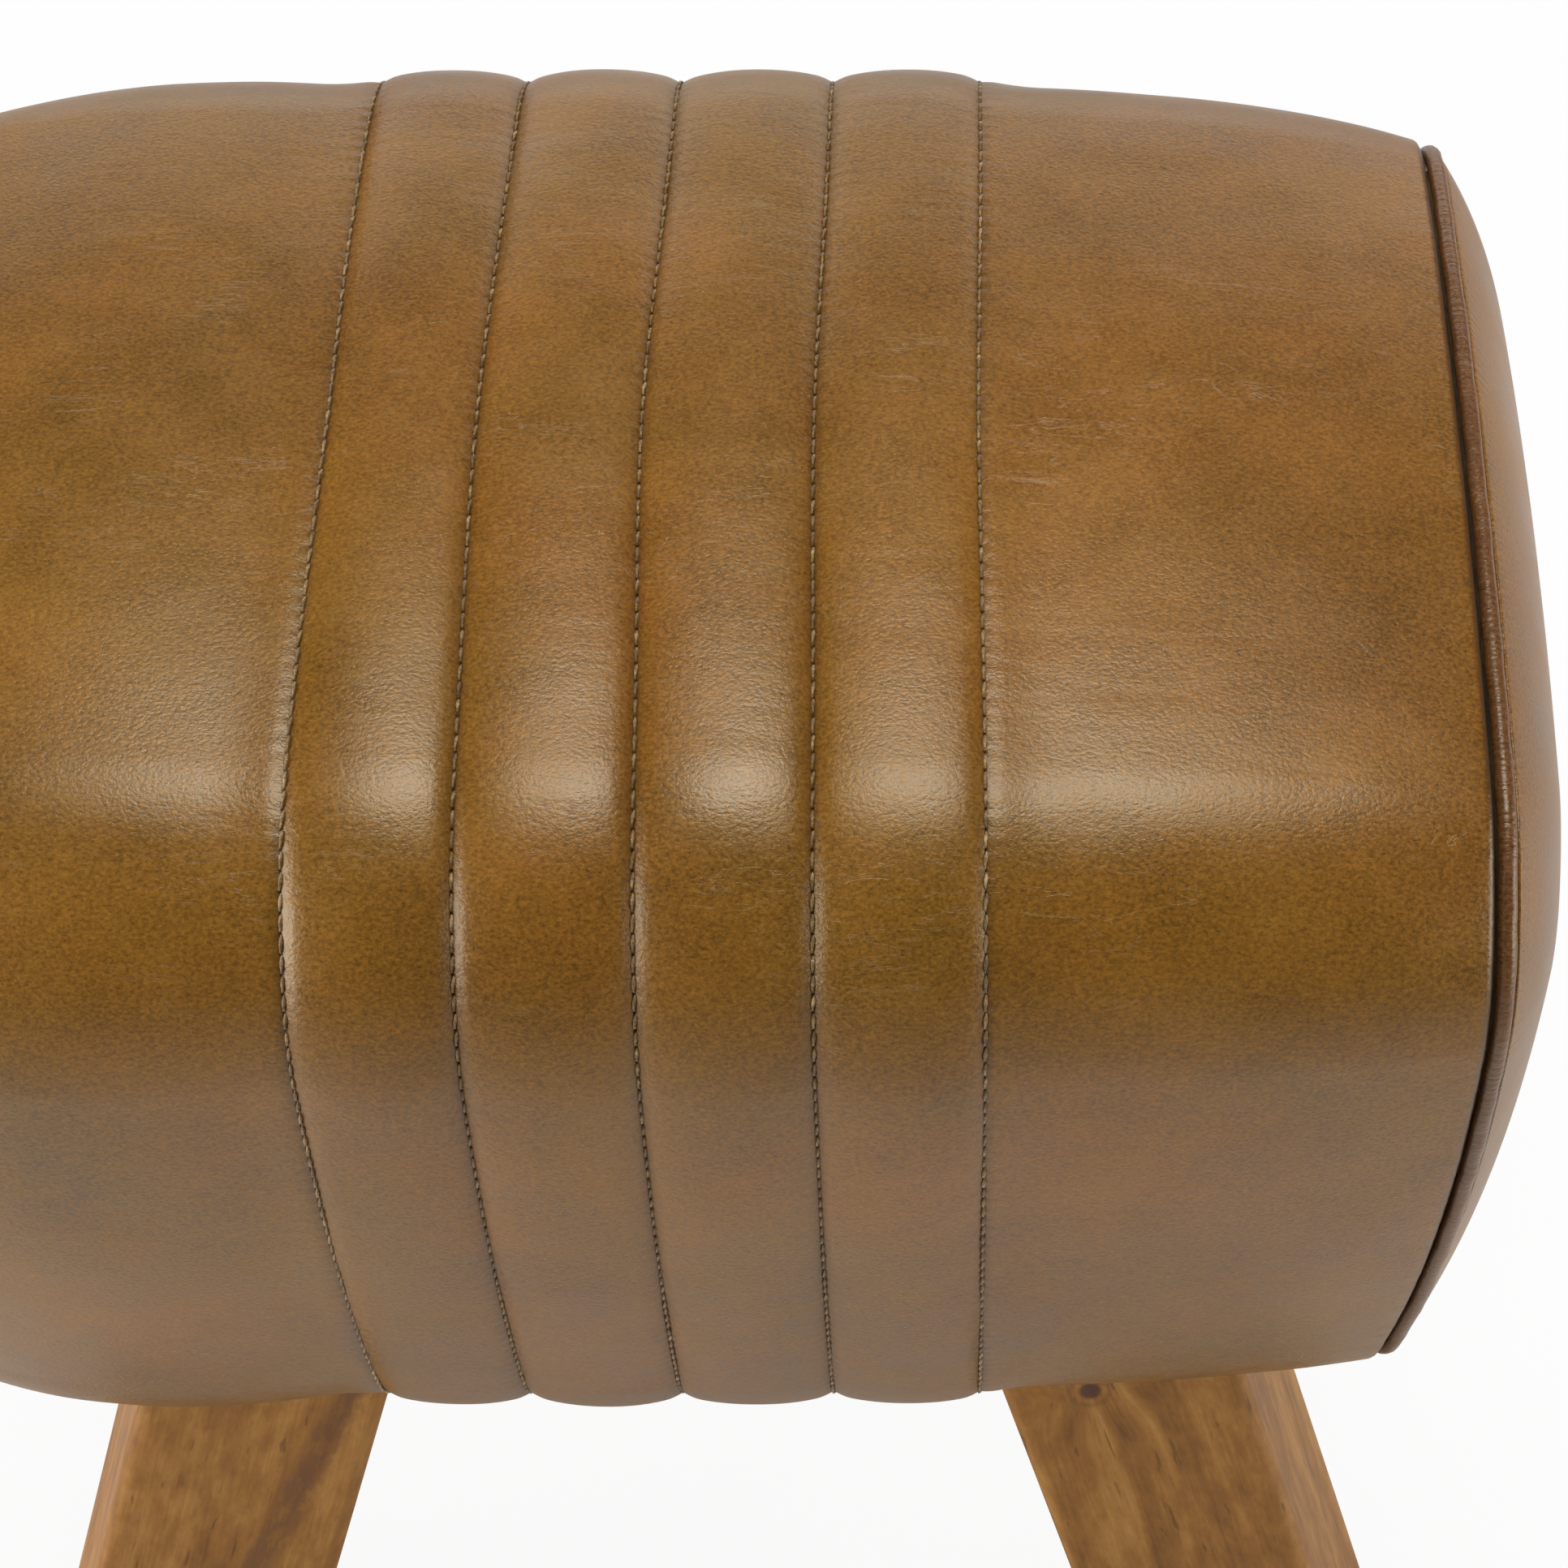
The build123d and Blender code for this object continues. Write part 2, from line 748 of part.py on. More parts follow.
def save_foam(blank, screws):
    """Foam slabs and end pads, with room for the screw heads at the rounded edge of the base board."""
    for name, slab in make_foam(make_padding(), blank).items():
        save(name, less(slab, screws))
    for name, x_sign in ends.items():
        save(f"end_slab_{name}", make_end_slab(x_sign, blank))
        save(f"end_pad_{name}", make_end_pad(x_sign))


def save_cover(openings):
    """Leather, wadding, thread and piping."""
    for index in range(rib_count):
        save(f"rib_panel_{index + 1}", make_rib_panel(index, openings))
        save(f"rib_wadding_{index + 1}", make_wadding(index))
    for index in range(rib_count + 1):
        save(f"seam_thread_{index + 1}", make_thread(index))
    save("rib_backing", make_backing())
    for name, x_sign in ends.items():
        save(f"plain_panel_{name}", make_plain_panel(x_sign, openings))
        save(f"end_panel_{name}", make_end_panel(x_sign))
        cover, cord = make_piping(x_sign)
        save(f"piping_cover_{name}", cover)
        save(f"piping_cord_{name}", cord)


def main():
    """Make every piece of the stool."""
    os.makedirs("parts", exist_ok=True)
    staples = [make_staple(*place) for place in staple_places()]
    holes = []
    for place in staple_places():
        holes.extend(staple_legs(*place, fit_clearance))
    blank = board_blank()
    save_legs()
    screws = [screw(place, direction) for place, direction in screw_places()]
    save_carcass(make_base_board(blank), holes, screws)
    save_foam(blank, screws)
    save_cover(base_openings() + holes)
    save("dust_cover", less(make_dust_cover(), holes))
    save("cover_staples", Compound(children=staples))


main()
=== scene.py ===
import json
import math
import bpy
import numpy as np
from mathutils import Euler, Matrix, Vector


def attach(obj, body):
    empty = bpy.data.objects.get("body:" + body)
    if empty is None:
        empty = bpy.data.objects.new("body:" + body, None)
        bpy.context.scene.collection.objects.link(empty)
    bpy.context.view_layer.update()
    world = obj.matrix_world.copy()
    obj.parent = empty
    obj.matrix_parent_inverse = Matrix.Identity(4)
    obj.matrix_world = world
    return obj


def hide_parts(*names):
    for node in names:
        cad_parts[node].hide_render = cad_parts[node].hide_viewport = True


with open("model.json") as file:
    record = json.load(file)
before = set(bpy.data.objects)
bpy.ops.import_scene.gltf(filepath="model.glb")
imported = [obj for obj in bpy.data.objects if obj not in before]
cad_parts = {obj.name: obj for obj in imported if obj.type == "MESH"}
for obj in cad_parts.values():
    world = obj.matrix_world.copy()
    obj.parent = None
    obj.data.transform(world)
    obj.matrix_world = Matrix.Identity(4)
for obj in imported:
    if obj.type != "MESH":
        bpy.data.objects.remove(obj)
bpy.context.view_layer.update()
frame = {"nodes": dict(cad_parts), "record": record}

# Sizes are in millimetres, as in the construction, and become metres when a mesh is made
MILLIMETRE = 0.001

# Body section, at the level of the seams
base_height = 190.0
body_height = 289.0
crown_radius = 660.0
shoulder_radius = 62.0
lower_radius = 93.0
base_corner_radius = 37.0
crown_angle = 10.0
shoulder_angle = 92.0
side_angle = 107.0
lower_angle = 130.0
half_turn = 180.0

# Ribbed band and plain panels
rib_count = 4
rib_width = 41.0
rib_crown = 2.9
rib_fullness = 2.2
rib_crown_shares = (1.0, 1.0, 0.96, 0.84)
rib_unevenness = 0.14
rib_swell_size = (1, 60)
plain_length = 118.5
seam_step = 2.2
belly_drop = 10.0
end_roll = 1.8
roll_power = 6
step_reach_share = 0.15
left_fullness = 5.8
left_top_slack = 2.0
left_base_fullness = 2.2
left_bulge_turn = 0.75
shoulder_slack = 2.7
base_fullness = 4.2
end_lean = 0.048
end_belly = 5.2
leather_thickness = 1.5

# Where the ends are drawn in or let out, and where the leather creases: the middle of each zone
# and its half width, in degrees from straight up
shoulder_zone = (45.0, 28.0)
lower_zone = (125.0, 25.0)
left_shoulder_zone = (45.0, 30.0)
left_lower_zone = (130.0, 30.0)
soft_crease_zone = (24.0, 22.0)

# Slow swells, soft creases and wrinkles of the leather: heights, and sizes along x and the section
swell_height = 0.3
swell_size = (44, 36)
ripple_height = 0.1
ripple_size = (16, 13)
soft_crease_depth = 0.12
soft_crease_size = (60, 5)
soft_crease_width = 0.2
soft_crease_shift = 420
soft_patch_size = (34, 28)
soft_patch_share = 0.4
wrinkle_height = 0.14
wrinkle_size = (2.4, 9)
wrinkle_reach = 4
noise_knots = 64

# Seams and their stitches; a seam wanders by its first value, and by its second over the crown
seam_wander = ((0.4, 1.3), (-0.8, -1.5), (0.3, -2.6), (1.1, -1.7), (0.4, -1.2))
wander_zone = (-13.0, 70.0)
valley_depth = 0.75
valley_width = 2.6
crease_depth = 0.45
crease_width = 0.4
stitch_pitch = 5.0
stitch_radius = 0.4
stitch_slant = 0.2
stitch_rings = 9
stitch_rise = 1.05
stitch_sink = 0.85
stitch_unevenness = 0.1
stitch_arch_power = 0.55
stitch_end_share = 0.6
stitch_height_share = 0.85
slant_unevenness = 0.7
thread_sides = 8
ply_height = 0.22
ply_turns = 0.8
pucker_height = 0.14
pucker_reach = 2.6
pucker_unevenness = 0.5
pucker_size = (17, 9)

# Piping and end panels
lay_gap = 0.2
piping_radius = 2.4
piping_sink = 3.6
piping_clearance = 1.0
piping_sides = 14
piping_unevenness = 0.07
piping_swell_size = (7, 1)
groove_width = 1.0
groove_depth = 6.0
panel_edge_radius = 1.7
end_edge_radius = 1.0
end_sink = 5.4
end_lift = 4.6
end_crown = 19.6
end_power = 5.2
end_wave = 0.8
end_wave_size = (55, 1)
end_rings = 44
end_half_size = 165.0

# Wadding, backing cloth and foam
wadding_edge = 2.0
wadding_end = 12.0
cloth_thickness = 0.6
foam_gap = 0.3
top_foam_depth = 42.0
side_foam_depth = 31.0
end_slab_thickness = 20.5
base_board_setback = 1.4
base_board_thickness = 18.0
deck_thickness = 12.0

# Legs, hem and underside cloth
leg_width = 73.0
leg_depth = 72.0
leg_end_setback = 27.0
leg_side_setback = 2.0
leg_splay_x = 16.5
leg_splay_y = 13.6
leg_clearance = 1.0
hem_end_width = 10.0
hem_side_width = 32.0
cover_overlap = 8.0
cover_thickness = 0.5
cover_sag = 2.2
cover_sag_reach = 45.0
cover_wave = 0.5
cover_wave_size = (26, 17)
cover_wave_reach = 14.0
cover_leg_reach = 60.0
cover_leg_sag_share = 0.3

# Fineness of the meshes
row_step = 1.3
column_step = 2.4
ring_step = 2.0
inner_step = 7.0
flat_step = 6.0
cloth_step = 4.0

# Leather's tone from its dye and grain, its roughness, and the heights of its grain and folds in metres
cloud_depth = 0.8
patch_depth = 0.5
grain_depth = 2.1
pore_depth = 0.12
leather_roughness = (0.3, 0.38)
grain_height = 0.0003
fold_height = 0.0008

# The knot on one leg and the dark streak on another, in metres, and the direction across the streak
knot_place = (0.115, -0.0946, 0.1639)
streak_place = (-0.1152, -0.1025, 0.1314)
streak_across = (0.9, 0.0, -0.44)

# Stage sizes are in metres, and the camera's axis and focal length in pixels of the photograph;
# a lamp has its place, the point it faces, its size and its watts
floor_size = 12.0
floor_white_share = 0.93
mirrored_white_share = 0.19
room_grey = 0.13
lamps = {
    "overhead": ((0.13, 0.13, 2.12), (0.13, 0.13, 0), (0.95, 0.7), 24.0),
    "left_side": ((-2.3, -0.6, 0.62), (0, 0, 0.32), (2.0, 1.5), 72.0),
    "right_side": ((2.2, -0.5, 0.57), (0, 0, 0.32), (1.6, 1.0), 28.0),
    "behind": ((0.1, 2.6, 0.97), (0, 0, 0.42), (3.0, 1.1), 18.0),
}
photo_pixels = 1932
camera_focal_pixels = 5324
camera_axis_pixel = 1165.4
camera_place = (0.0731, -0.7737, 1.2363)
camera_pitch = 49.66
sensor_width = 36.0

# Places worked out from the sizes above
base_level = base_height
top_level = base_height + body_height
middle_level = base_height + body_height / 2
band_half_length = rib_count * rib_width / 2
plain_end = band_half_length + plain_length
plain_end_drop = seam_step + belly_drop + end_roll
piping_x = plain_end + groove_width + piping_radius
end_x = piping_x + piping_radius - lay_gap
carcass_half_length = plain_end - end_slab_thickness
board_level = base_level + leather_thickness
board_top = board_level + base_board_thickness
deck_top = top_level - top_foam_depth
deck_bottom = deck_top - deck_thickness
padding_inset = leather_thickness + wadding_edge + cloth_thickness + 3 * lay_gap
hem_half_length = carcass_half_length - hem_end_width
ends = {"left": -1, "right": 1}
sides = {"front": -1, "back": 1}
corners = {f"{side}_{end}": (ends[end], sides[side]) for side in sides for end in ends}


def arc_fall(radius, start, end):
    """Loss of height along an arc of the section, whose angles are counted from straight up."""
    return radius * (math.cos(math.radians(start)) - math.cos(math.radians(end)))


def side_arc_radius():
    """Radius of the side arc, which takes up the height that the other arcs leave."""
    fall = body_height - arc_fall(crown_radius, 0, crown_angle)
    fall -= arc_fall(shoulder_radius, crown_angle, shoulder_angle)
    fall -= arc_fall(lower_radius, side_angle, lower_angle)
    fall -= arc_fall(base_corner_radius, lower_angle, half_turn)
    return fall / arc_fall(1, shoulder_angle, side_angle)


class Section:
    """Half of the body's section as rows, from the top centre to the hem or the middle of the base."""

    def __init__(self, step, to_middle):
        rows = []
        centre = np.array([0, top_level - crown_radius])
        radius, start = crown_radius, 0
        arcs = (
            (crown_angle, shoulder_radius),
            (shoulder_angle, side_arc_radius()),
            (side_angle, lower_radius),
            (lower_angle, 0),
        )
        for end, next_radius in arcs:
            count = max(2, round(radius * math.radians(end - start) / step))
            for angle in np.linspace(start, end, count, endpoint=False):
                rows.append((*centre, radius, angle))
            turn = math.radians(end)
            last = (*centre, radius, end)
            centre = centre + (radius - next_radius) * np.array([math.sin(turn), math.cos(turn)])
            radius, start = next_radius, end
        rows.append(last)
        self.arcs = np.array(rows)
        corner_length = base_corner_radius * math.radians(half_turn - lower_angle)
        corner_count = max(3, round(corner_length / step))
        self.corner = np.linspace(lower_angle, half_turn, corner_count + 1)[1:]
        self.flat = flat_shares(to_middle)
        flat_angles = np.full(len(self.flat), half_turn)
        self.angles = np.concatenate([self.arcs[:, 3], self.corner, flat_angles])
        self.count = len(self.angles)
        y, z = self.half(np.zeros((self.count, 1)))
        self.y, self.z = y[:, 0], z[:, 0]
        self.reach = np.append(0, np.cumsum(np.hypot(np.diff(self.y), np.diff(self.z))))

    def half(self, offset, lift=0):
        """Places (y, z) of the rows, moved out by offset, which has a row and a column for each."""
        count = len(self.arcs)
        turn = np.radians(self.arcs[:, 3])[:, None]
        radius = self.arcs[:, 2][:, None] + offset[:count]
        y = self.arcs[:, 0][:, None] + radius * np.sin(turn)
        z = self.arcs[:, 1][:, None] + radius * np.cos(turn)
        edge, base = math.radians(lower_angle), base_level + lift
        corner = (z[-1] - base) / (1 + math.cos(edge))
        centre_y = y[-1] - corner * math.sin(edge)
        centre_z = z[-1] - corner * math.cos(edge)
        turn = np.radians(self.corner)[:, None]
        fade = np.linspace(1, 0, len(self.corner))[:, None]
        fine = (offset[count:count + len(self.corner)] - offset[count - 1]) * fade
        corner_y = centre_y + (corner + fine) * np.sin(turn)
        corner_z = centre_z + (corner + fine) * np.cos(turn)
        flat_y = centre_y * self.flat[:, None]
        flat_z = np.full_like(flat_y, base)
        return np.vstack([y, corner_y, flat_y]), np.vstack([z, corner_z, flat_z])

    def signed_angles(self):
        """Each whole row's angle from straight up, negative in front."""
        return np.concatenate([-self.angles[:0:-1], self.angles])[:, None]

    def along(self):
        """Each whole row's distance from the top centre along the section, negative in front."""
        return np.concatenate([-self.reach[:0:-1], self.reach])[:, None]

    def whole(self, x, offset, lift=0, share=1, shift=1):
        """Points of whole rows and columns at x, moved out by offset, with the end's own lean."""
        front_y, front_z = self.half(offset[self.count - 1::-1], lift)
        back_y, back_z = self.half(offset[self.count - 1:], lift)
        y = np.vstack([-front_y[:0:-1], back_y]) * share
        z = middle_level + (np.vstack([front_z[:0:-1], back_z]) - middle_level) * share
        return np.stack([x + shift * end_shift(x, z), y, z], -1)


def flat_half_width():
    """Half width of the body's flat base."""
    radii = (crown_radius, shoulder_radius, side_arc_radius(), lower_radius, base_corner_radius)
    turns = np.radians([crown_angle, shoulder_angle, side_angle, lower_angle])
    return sum((radius - after) * math.sin(turn) for radius, after, turn in zip(radii, radii[1:], turns))


def widest_half_width():
    """Half width of the body where it is widest, on the shoulder arc."""
    return (crown_radius - shoulder_radius) * math.sin(math.radians(crown_angle)) + shoulder_radius


def side_half_width(level):
    """Half width of the carcass at a level."""
    low = flat_half_width() - base_board_setback
    high = widest_half_width() - side_foam_depth
    return low + (high - low) * (level - board_top) / (deck_bottom - board_top)


def hem_half_width():
    """Half width of the opening inside the hem."""
    return flat_half_width() - base_board_setback - hem_side_width


def flat_shares(to_middle):
    """Rows of the flat base as shares of its half width, one of them at the hem."""
    half_width, hem = flat_half_width(), hem_half_width()
    count = round((half_width - hem) / flat_step)
    shares = list(np.linspace(1, hem / half_width, count + 1)[1:])
    if to_middle:
        count = round(hem / flat_step)
        shares += list(np.linspace(shares[-1], 0, count + 1)[1:])
    return np.array(shares)


def plain_share(x):
    """Share of the way from the ribbed band to an end."""
    return np.clip((np.abs(x) - band_half_length) / plain_length, 0, 1)


def end_shift(x, z):
    """How far an end leans out at the top and draws in above and below its middle."""
    share = plain_share(x) ** 2
    height = z - middle_level
    return np.sign(x) * share * (end_lean * height - end_belly * (height / (body_height / 2)) ** 2)


def smooth_noise(u, v, size, seed):
    """Smooth random values between -1 and 1 over a plane, one knot for each size along u and v."""
    table = np.random.default_rng(seed).uniform(-1, 1, (noise_knots, noise_knots))
    u, v = u / size[0], v / size[1]
    low_u, low_v = np.floor(u).astype(int), np.floor(v).astype(int)
    part_u, part_v = u - low_u, v - low_v
    part_u = part_u * part_u * (3 - 2 * part_u)
    part_v = part_v * part_v * (3 - 2 * part_v)

    def knot(a, b):
        return table[(low_u + a) % noise_knots, (low_v + b) % noise_knots]

    near = knot(0, 0) * (1 - part_u) + knot(1, 0) * part_u
    far = knot(0, 1) * (1 - part_u) + knot(1, 1) * part_u
    return near * (1 - part_v) + far * part_v


def bell(value, middle, width):
    """Smooth bump of height 1."""
    return np.exp(-((value - middle) / width) ** 2)


def corner_slack(angle):
    """How much an end's edge is drawn in at the shoulders, and let out above the base."""
    tilt = np.abs(angle)
    drawn_in = shoulder_slack * bell(tilt, *shoulder_zone)
    return drawn_in - base_fullness * bell(tilt, *lower_zone)


def plain_drop(side, share, angle):
    """Fall of a plain panel below the seams, at a share of its length from the band."""
    near = np.maximum(0, 1 - share / step_reach_share)
    drop = seam_step * (1 - near ** 2) + belly_drop * share ** 2 + end_roll * share ** roll_power
    if side < 0:
        tilt = np.abs(angle)
        fullness = left_fullness - left_top_slack * bell(tilt, *left_shoulder_zone)
        fullness = fullness + left_base_fullness * bell(tilt, *left_lower_zone)
        drop = drop - fullness * np.sin(left_bulge_turn * math.pi * share)
    return drop + corner_slack(angle) * share ** 3


def seam_x(index, along):
    """Place of a seam at a distance along the section."""
    wander, crown_wander = seam_wander[index]
    middle = (index - rib_count / 2) * rib_width
    return middle + wander + crown_wander * bell(along, *wander_zone)


def hide_relief(x, along, angle):
    """Slow swells and soft creases of the leather."""
    swell = swell_height * smooth_noise(x, along, swell_size, 1)
    swell = swell + ripple_height * smooth_noise(x, along, ripple_size, 2)
    ridge = smooth_noise(x + soft_crease_shift, along, soft_crease_size, 3)
    mask = bell(np.abs(angle), *soft_crease_zone)
    mask = mask * np.clip(smooth_noise(x, along, soft_patch_size, 4) + soft_patch_share, 0, 1)
    crease = -soft_crease_depth * np.clip(1 - np.abs(ridge) / soft_crease_width, 0, 1) * mask
    return swell + crease


def seam_relief(distance, along):
    """Valley of a seam, drawn down at each stitch hole."""
    valley = -valley_depth * np.exp(-(distance / valley_width) ** 2)
    hole_wave = np.cos(2 * math.pi * along / stitch_pitch)
    uneven = 1 + pucker_unevenness * smooth_noise(along, distance, pucker_size, 5)
    pucker = pucker_height * uneven * hole_wave * np.exp(-distance / pucker_reach)
    crease = -crease_depth * np.exp(-distance / crease_width)
    return valley + pucker + crease


def graded(length, dense_start, dense_end):
    """Places from 0 to length, close together at the ends that are marked dense."""
    close = np.array([0, 0.2, 0.5, 0.9, 1.4, 2.0, 2.8, 3.8, 5.2, 7.0])
    low = close if dense_start else np.array([0.0])
    high = length - close[::-1] if dense_end else np.array([length])
    count = max(2, round((high[0] - low[-1]) / column_step))
    middle = np.linspace(low[-1], high[0], count + 1)[1:-1]
    return np.concatenate([low, middle, high])


def new_piece(name, points, faces, slot_name, attributes=None, material=None):
    """Mesh object from points in millimetres, riding on the stool."""
    mesh = bpy.data.meshes.new(name)
    mesh.from_pydata((points.reshape(-1, 3) * MILLIMETRE).tolist(), [], faces)
    mesh.shade_smooth()
    for key, values in (attributes or {}).items():
        layer = mesh.attributes.new(key, "FLOAT", "POINT")
        layer.data.foreach_set("value", values.astype(np.float32).ravel())
    mesh.materials.append(materials[material or slot_name])
    piece = bpy.data.objects.new(name, mesh)
    bpy.context.scene.collection.objects.link(piece)
    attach(piece, "root")
    return piece


def grid_faces(rows, columns, flip=False, wrap_rows=False, wrap_columns=False, start=0):
    """Quads of a grid whose points run along a row first."""
    row = np.arange(rows if wrap_rows else rows - 1)
    column = np.arange(columns if wrap_columns else columns - 1)
    i, j = np.meshgrid(row, column, indexing="ij")
    next_i, next_j = (i + 1) % rows, (j + 1) % columns
    quads = [i * columns + j, i * columns + next_j, next_i * columns + next_j, next_i * columns + j]
    if flip:
        quads = quads[::-1]
    return (np.stack(quads, -1).reshape(-1, 4) + start).tolist()


def thicken(piece, thickness):
    """Give a sheet its thickness, inwards."""
    solid = piece.modifiers.new("thickness", "SOLIDIFY")
    solid.thickness = thickness * MILLIMETRE
    solid.offset = -1
    return piece


# Materials


class Nodes:
    """A material's node tree and short ways to add to it."""

    def __init__(self, name):
        self.material = bpy.data.materials.new(name)
        self.material.use_nodes = True
        self.tree = self.material.node_tree
        self.tree.nodes.clear()

    def add(self, kind, inputs=None, **settings):
        """Node with its settings, and its inputs as numbers, colours or other nodes' sockets."""
        node = self.tree.nodes.new(kind)
        for key, value in settings.items():
            setattr(node, key, value)
        for key, value in (inputs or {}).items():
            socket = node.inputs[key]
            if isinstance(value, bpy.types.NodeSocket):
                self.tree.links.new(value, socket)
            elif socket.type == "RGBA":
                socket.default_value = (*value, 1)
            else:
                socket.default_value = value
        return node

    def place(self):
        """Place on the object, in metres."""
        return self.add("ShaderNodeTexCoord").outputs["Object"]

    def stretched(self, vector, scale, rotation=(0, 0, 0)):
        """Place turned, then scaled along each axis."""
        turned = self.add("ShaderNodeMapping", {"Vector": vector, "Rotation": rotation})
        return self.add("ShaderNodeMapping", {"Vector": turned.outputs[0], "Scale": scale}).outputs[0]

    def noise(self, vector, scale, detail=3.0, roughness=0.5, distortion=0.0):
        """Cloudy noise, about 0 to 1."""
        inputs = {"Vector": vector, "Scale": scale, "Detail": detail}
        inputs.update({"Roughness": roughness, "Distortion": distortion})
        return self.add("ShaderNodeTexNoise", inputs).outputs[0]

    def cells(self, vector, scale):
        """Distance to the nearest cell point."""
        return self.add("ShaderNodeTexVoronoi", {"Vector": vector, "Scale": scale}).outputs["Distance"]

    def math(self, operation, first, second=0.0, third=0.0):
        """Arithmetic on sockets or numbers."""
        inputs = {0: first, 1: second, 2: third}
        return self.add("ShaderNodeMath", inputs, operation=operation).outputs[0]

    def swing(self, value, depth, middle):
        """Middle value, moved up and down by a value of 0 to 1."""
        return self.math("MULTIPLY_ADD", self.math("SUBTRACT", value, 0.5), depth, middle)

    def vector(self, operation, first, second=(0, 0, 0), output=0):
        """Arithmetic on vectors."""
        node = self.add("ShaderNodeVectorMath", {0: first, 1: second}, operation=operation)
        return node.outputs[output]

    def remap(self, value, low, high, to_low=0.0, to_high=1.0):
        """Value moved from one range to another, clamped and smooth."""
        inputs = {"Value": value, "From Min": low, "From Max": high}
        inputs.update({"To Min": to_low, "To Max": to_high})
        settings = {"interpolation_type": "SMOOTHSTEP"}
        return self.add("ShaderNodeMapRange", inputs, **settings).outputs[0]

    def ramp(self, value, stops):
        """Colour from a value by stops of (position, colour)."""
        node = self.add("ShaderNodeValToRGB", {0: value})
        points = node.color_ramp.elements
        while len(points) < len(stops):
            points.new(0.5)
        for point, (position, colour) in zip(points, stops):
            point.position = position
            point.color = (*colour, 1)
        return node.outputs[0]

    def mix(self, share, first, second):
        """Two colours mixed."""
        inputs = {0: share, 6: first, 7: second}
        return self.add("ShaderNodeMix", inputs, data_type="RGBA").outputs[2]

    def bump(self, height, distance, strength=1.0, normal=None):
        """Bent normal from a height of 0 to 1 over a distance in metres."""
        inputs = {"Height": height, "Distance": distance, "Strength": strength}
        if normal is not None:
            inputs["Normal"] = normal
        return self.add("ShaderNodeBump", inputs).outputs[0]

    def attribute(self, name):
        """Value stored on the mesh."""
        return self.add("ShaderNodeAttribute", attribute_name=name).outputs["Fac"]

    def finish(self, colour, roughness, normal, **constants):
        """Principled surface to the output."""
        inputs = {"Base Color": colour, "Roughness": roughness, "Normal": normal, **constants}
        shader = self.add("ShaderNodeBsdfPrincipled", inputs)
        self.add("ShaderNodeOutputMaterial", {"Surface": shader.outputs[0]})
        return self.material


def rgb(red, green, blue):
    """Linear colour from the eight-bit values of a screen colour."""
    def linear(value):
        share = value / 255
        return share / 12.92 if share <= 0.04045 else ((share + 0.055) / 1.055) ** 2.4
    return linear(red), linear(green), linear(blue)


def painted_seam_shade(nodes, colour, dark):
    """Painted shade: colour darkened in the valley of a seam, and darkened to dark brown at its stitch
    holes.
    """
    distance = nodes.attribute("seam")
    # Painted shade darkens the seam's valley
    colour = nodes.mix(nodes.remap(distance, 0.3, 3.0, 0.25, 0.0), colour, dark)
    pitch = nodes.math("DIVIDE", nodes.attribute("along"), stitch_pitch)
    step = nodes.swing(nodes.math("FRACT", pitch), stitch_pitch, 0.0)
    away = nodes.math("POWER", distance, 2.0)
    away = nodes.math("SQRT", nodes.math("MULTIPLY_ADD", step, step, away))
    # Painted shade, dark brown, at each stitch hole
    return nodes.mix(nodes.remap(away, 0.3, 0.8, 0.8, 0.0), colour, rgb(46, 29, 12))


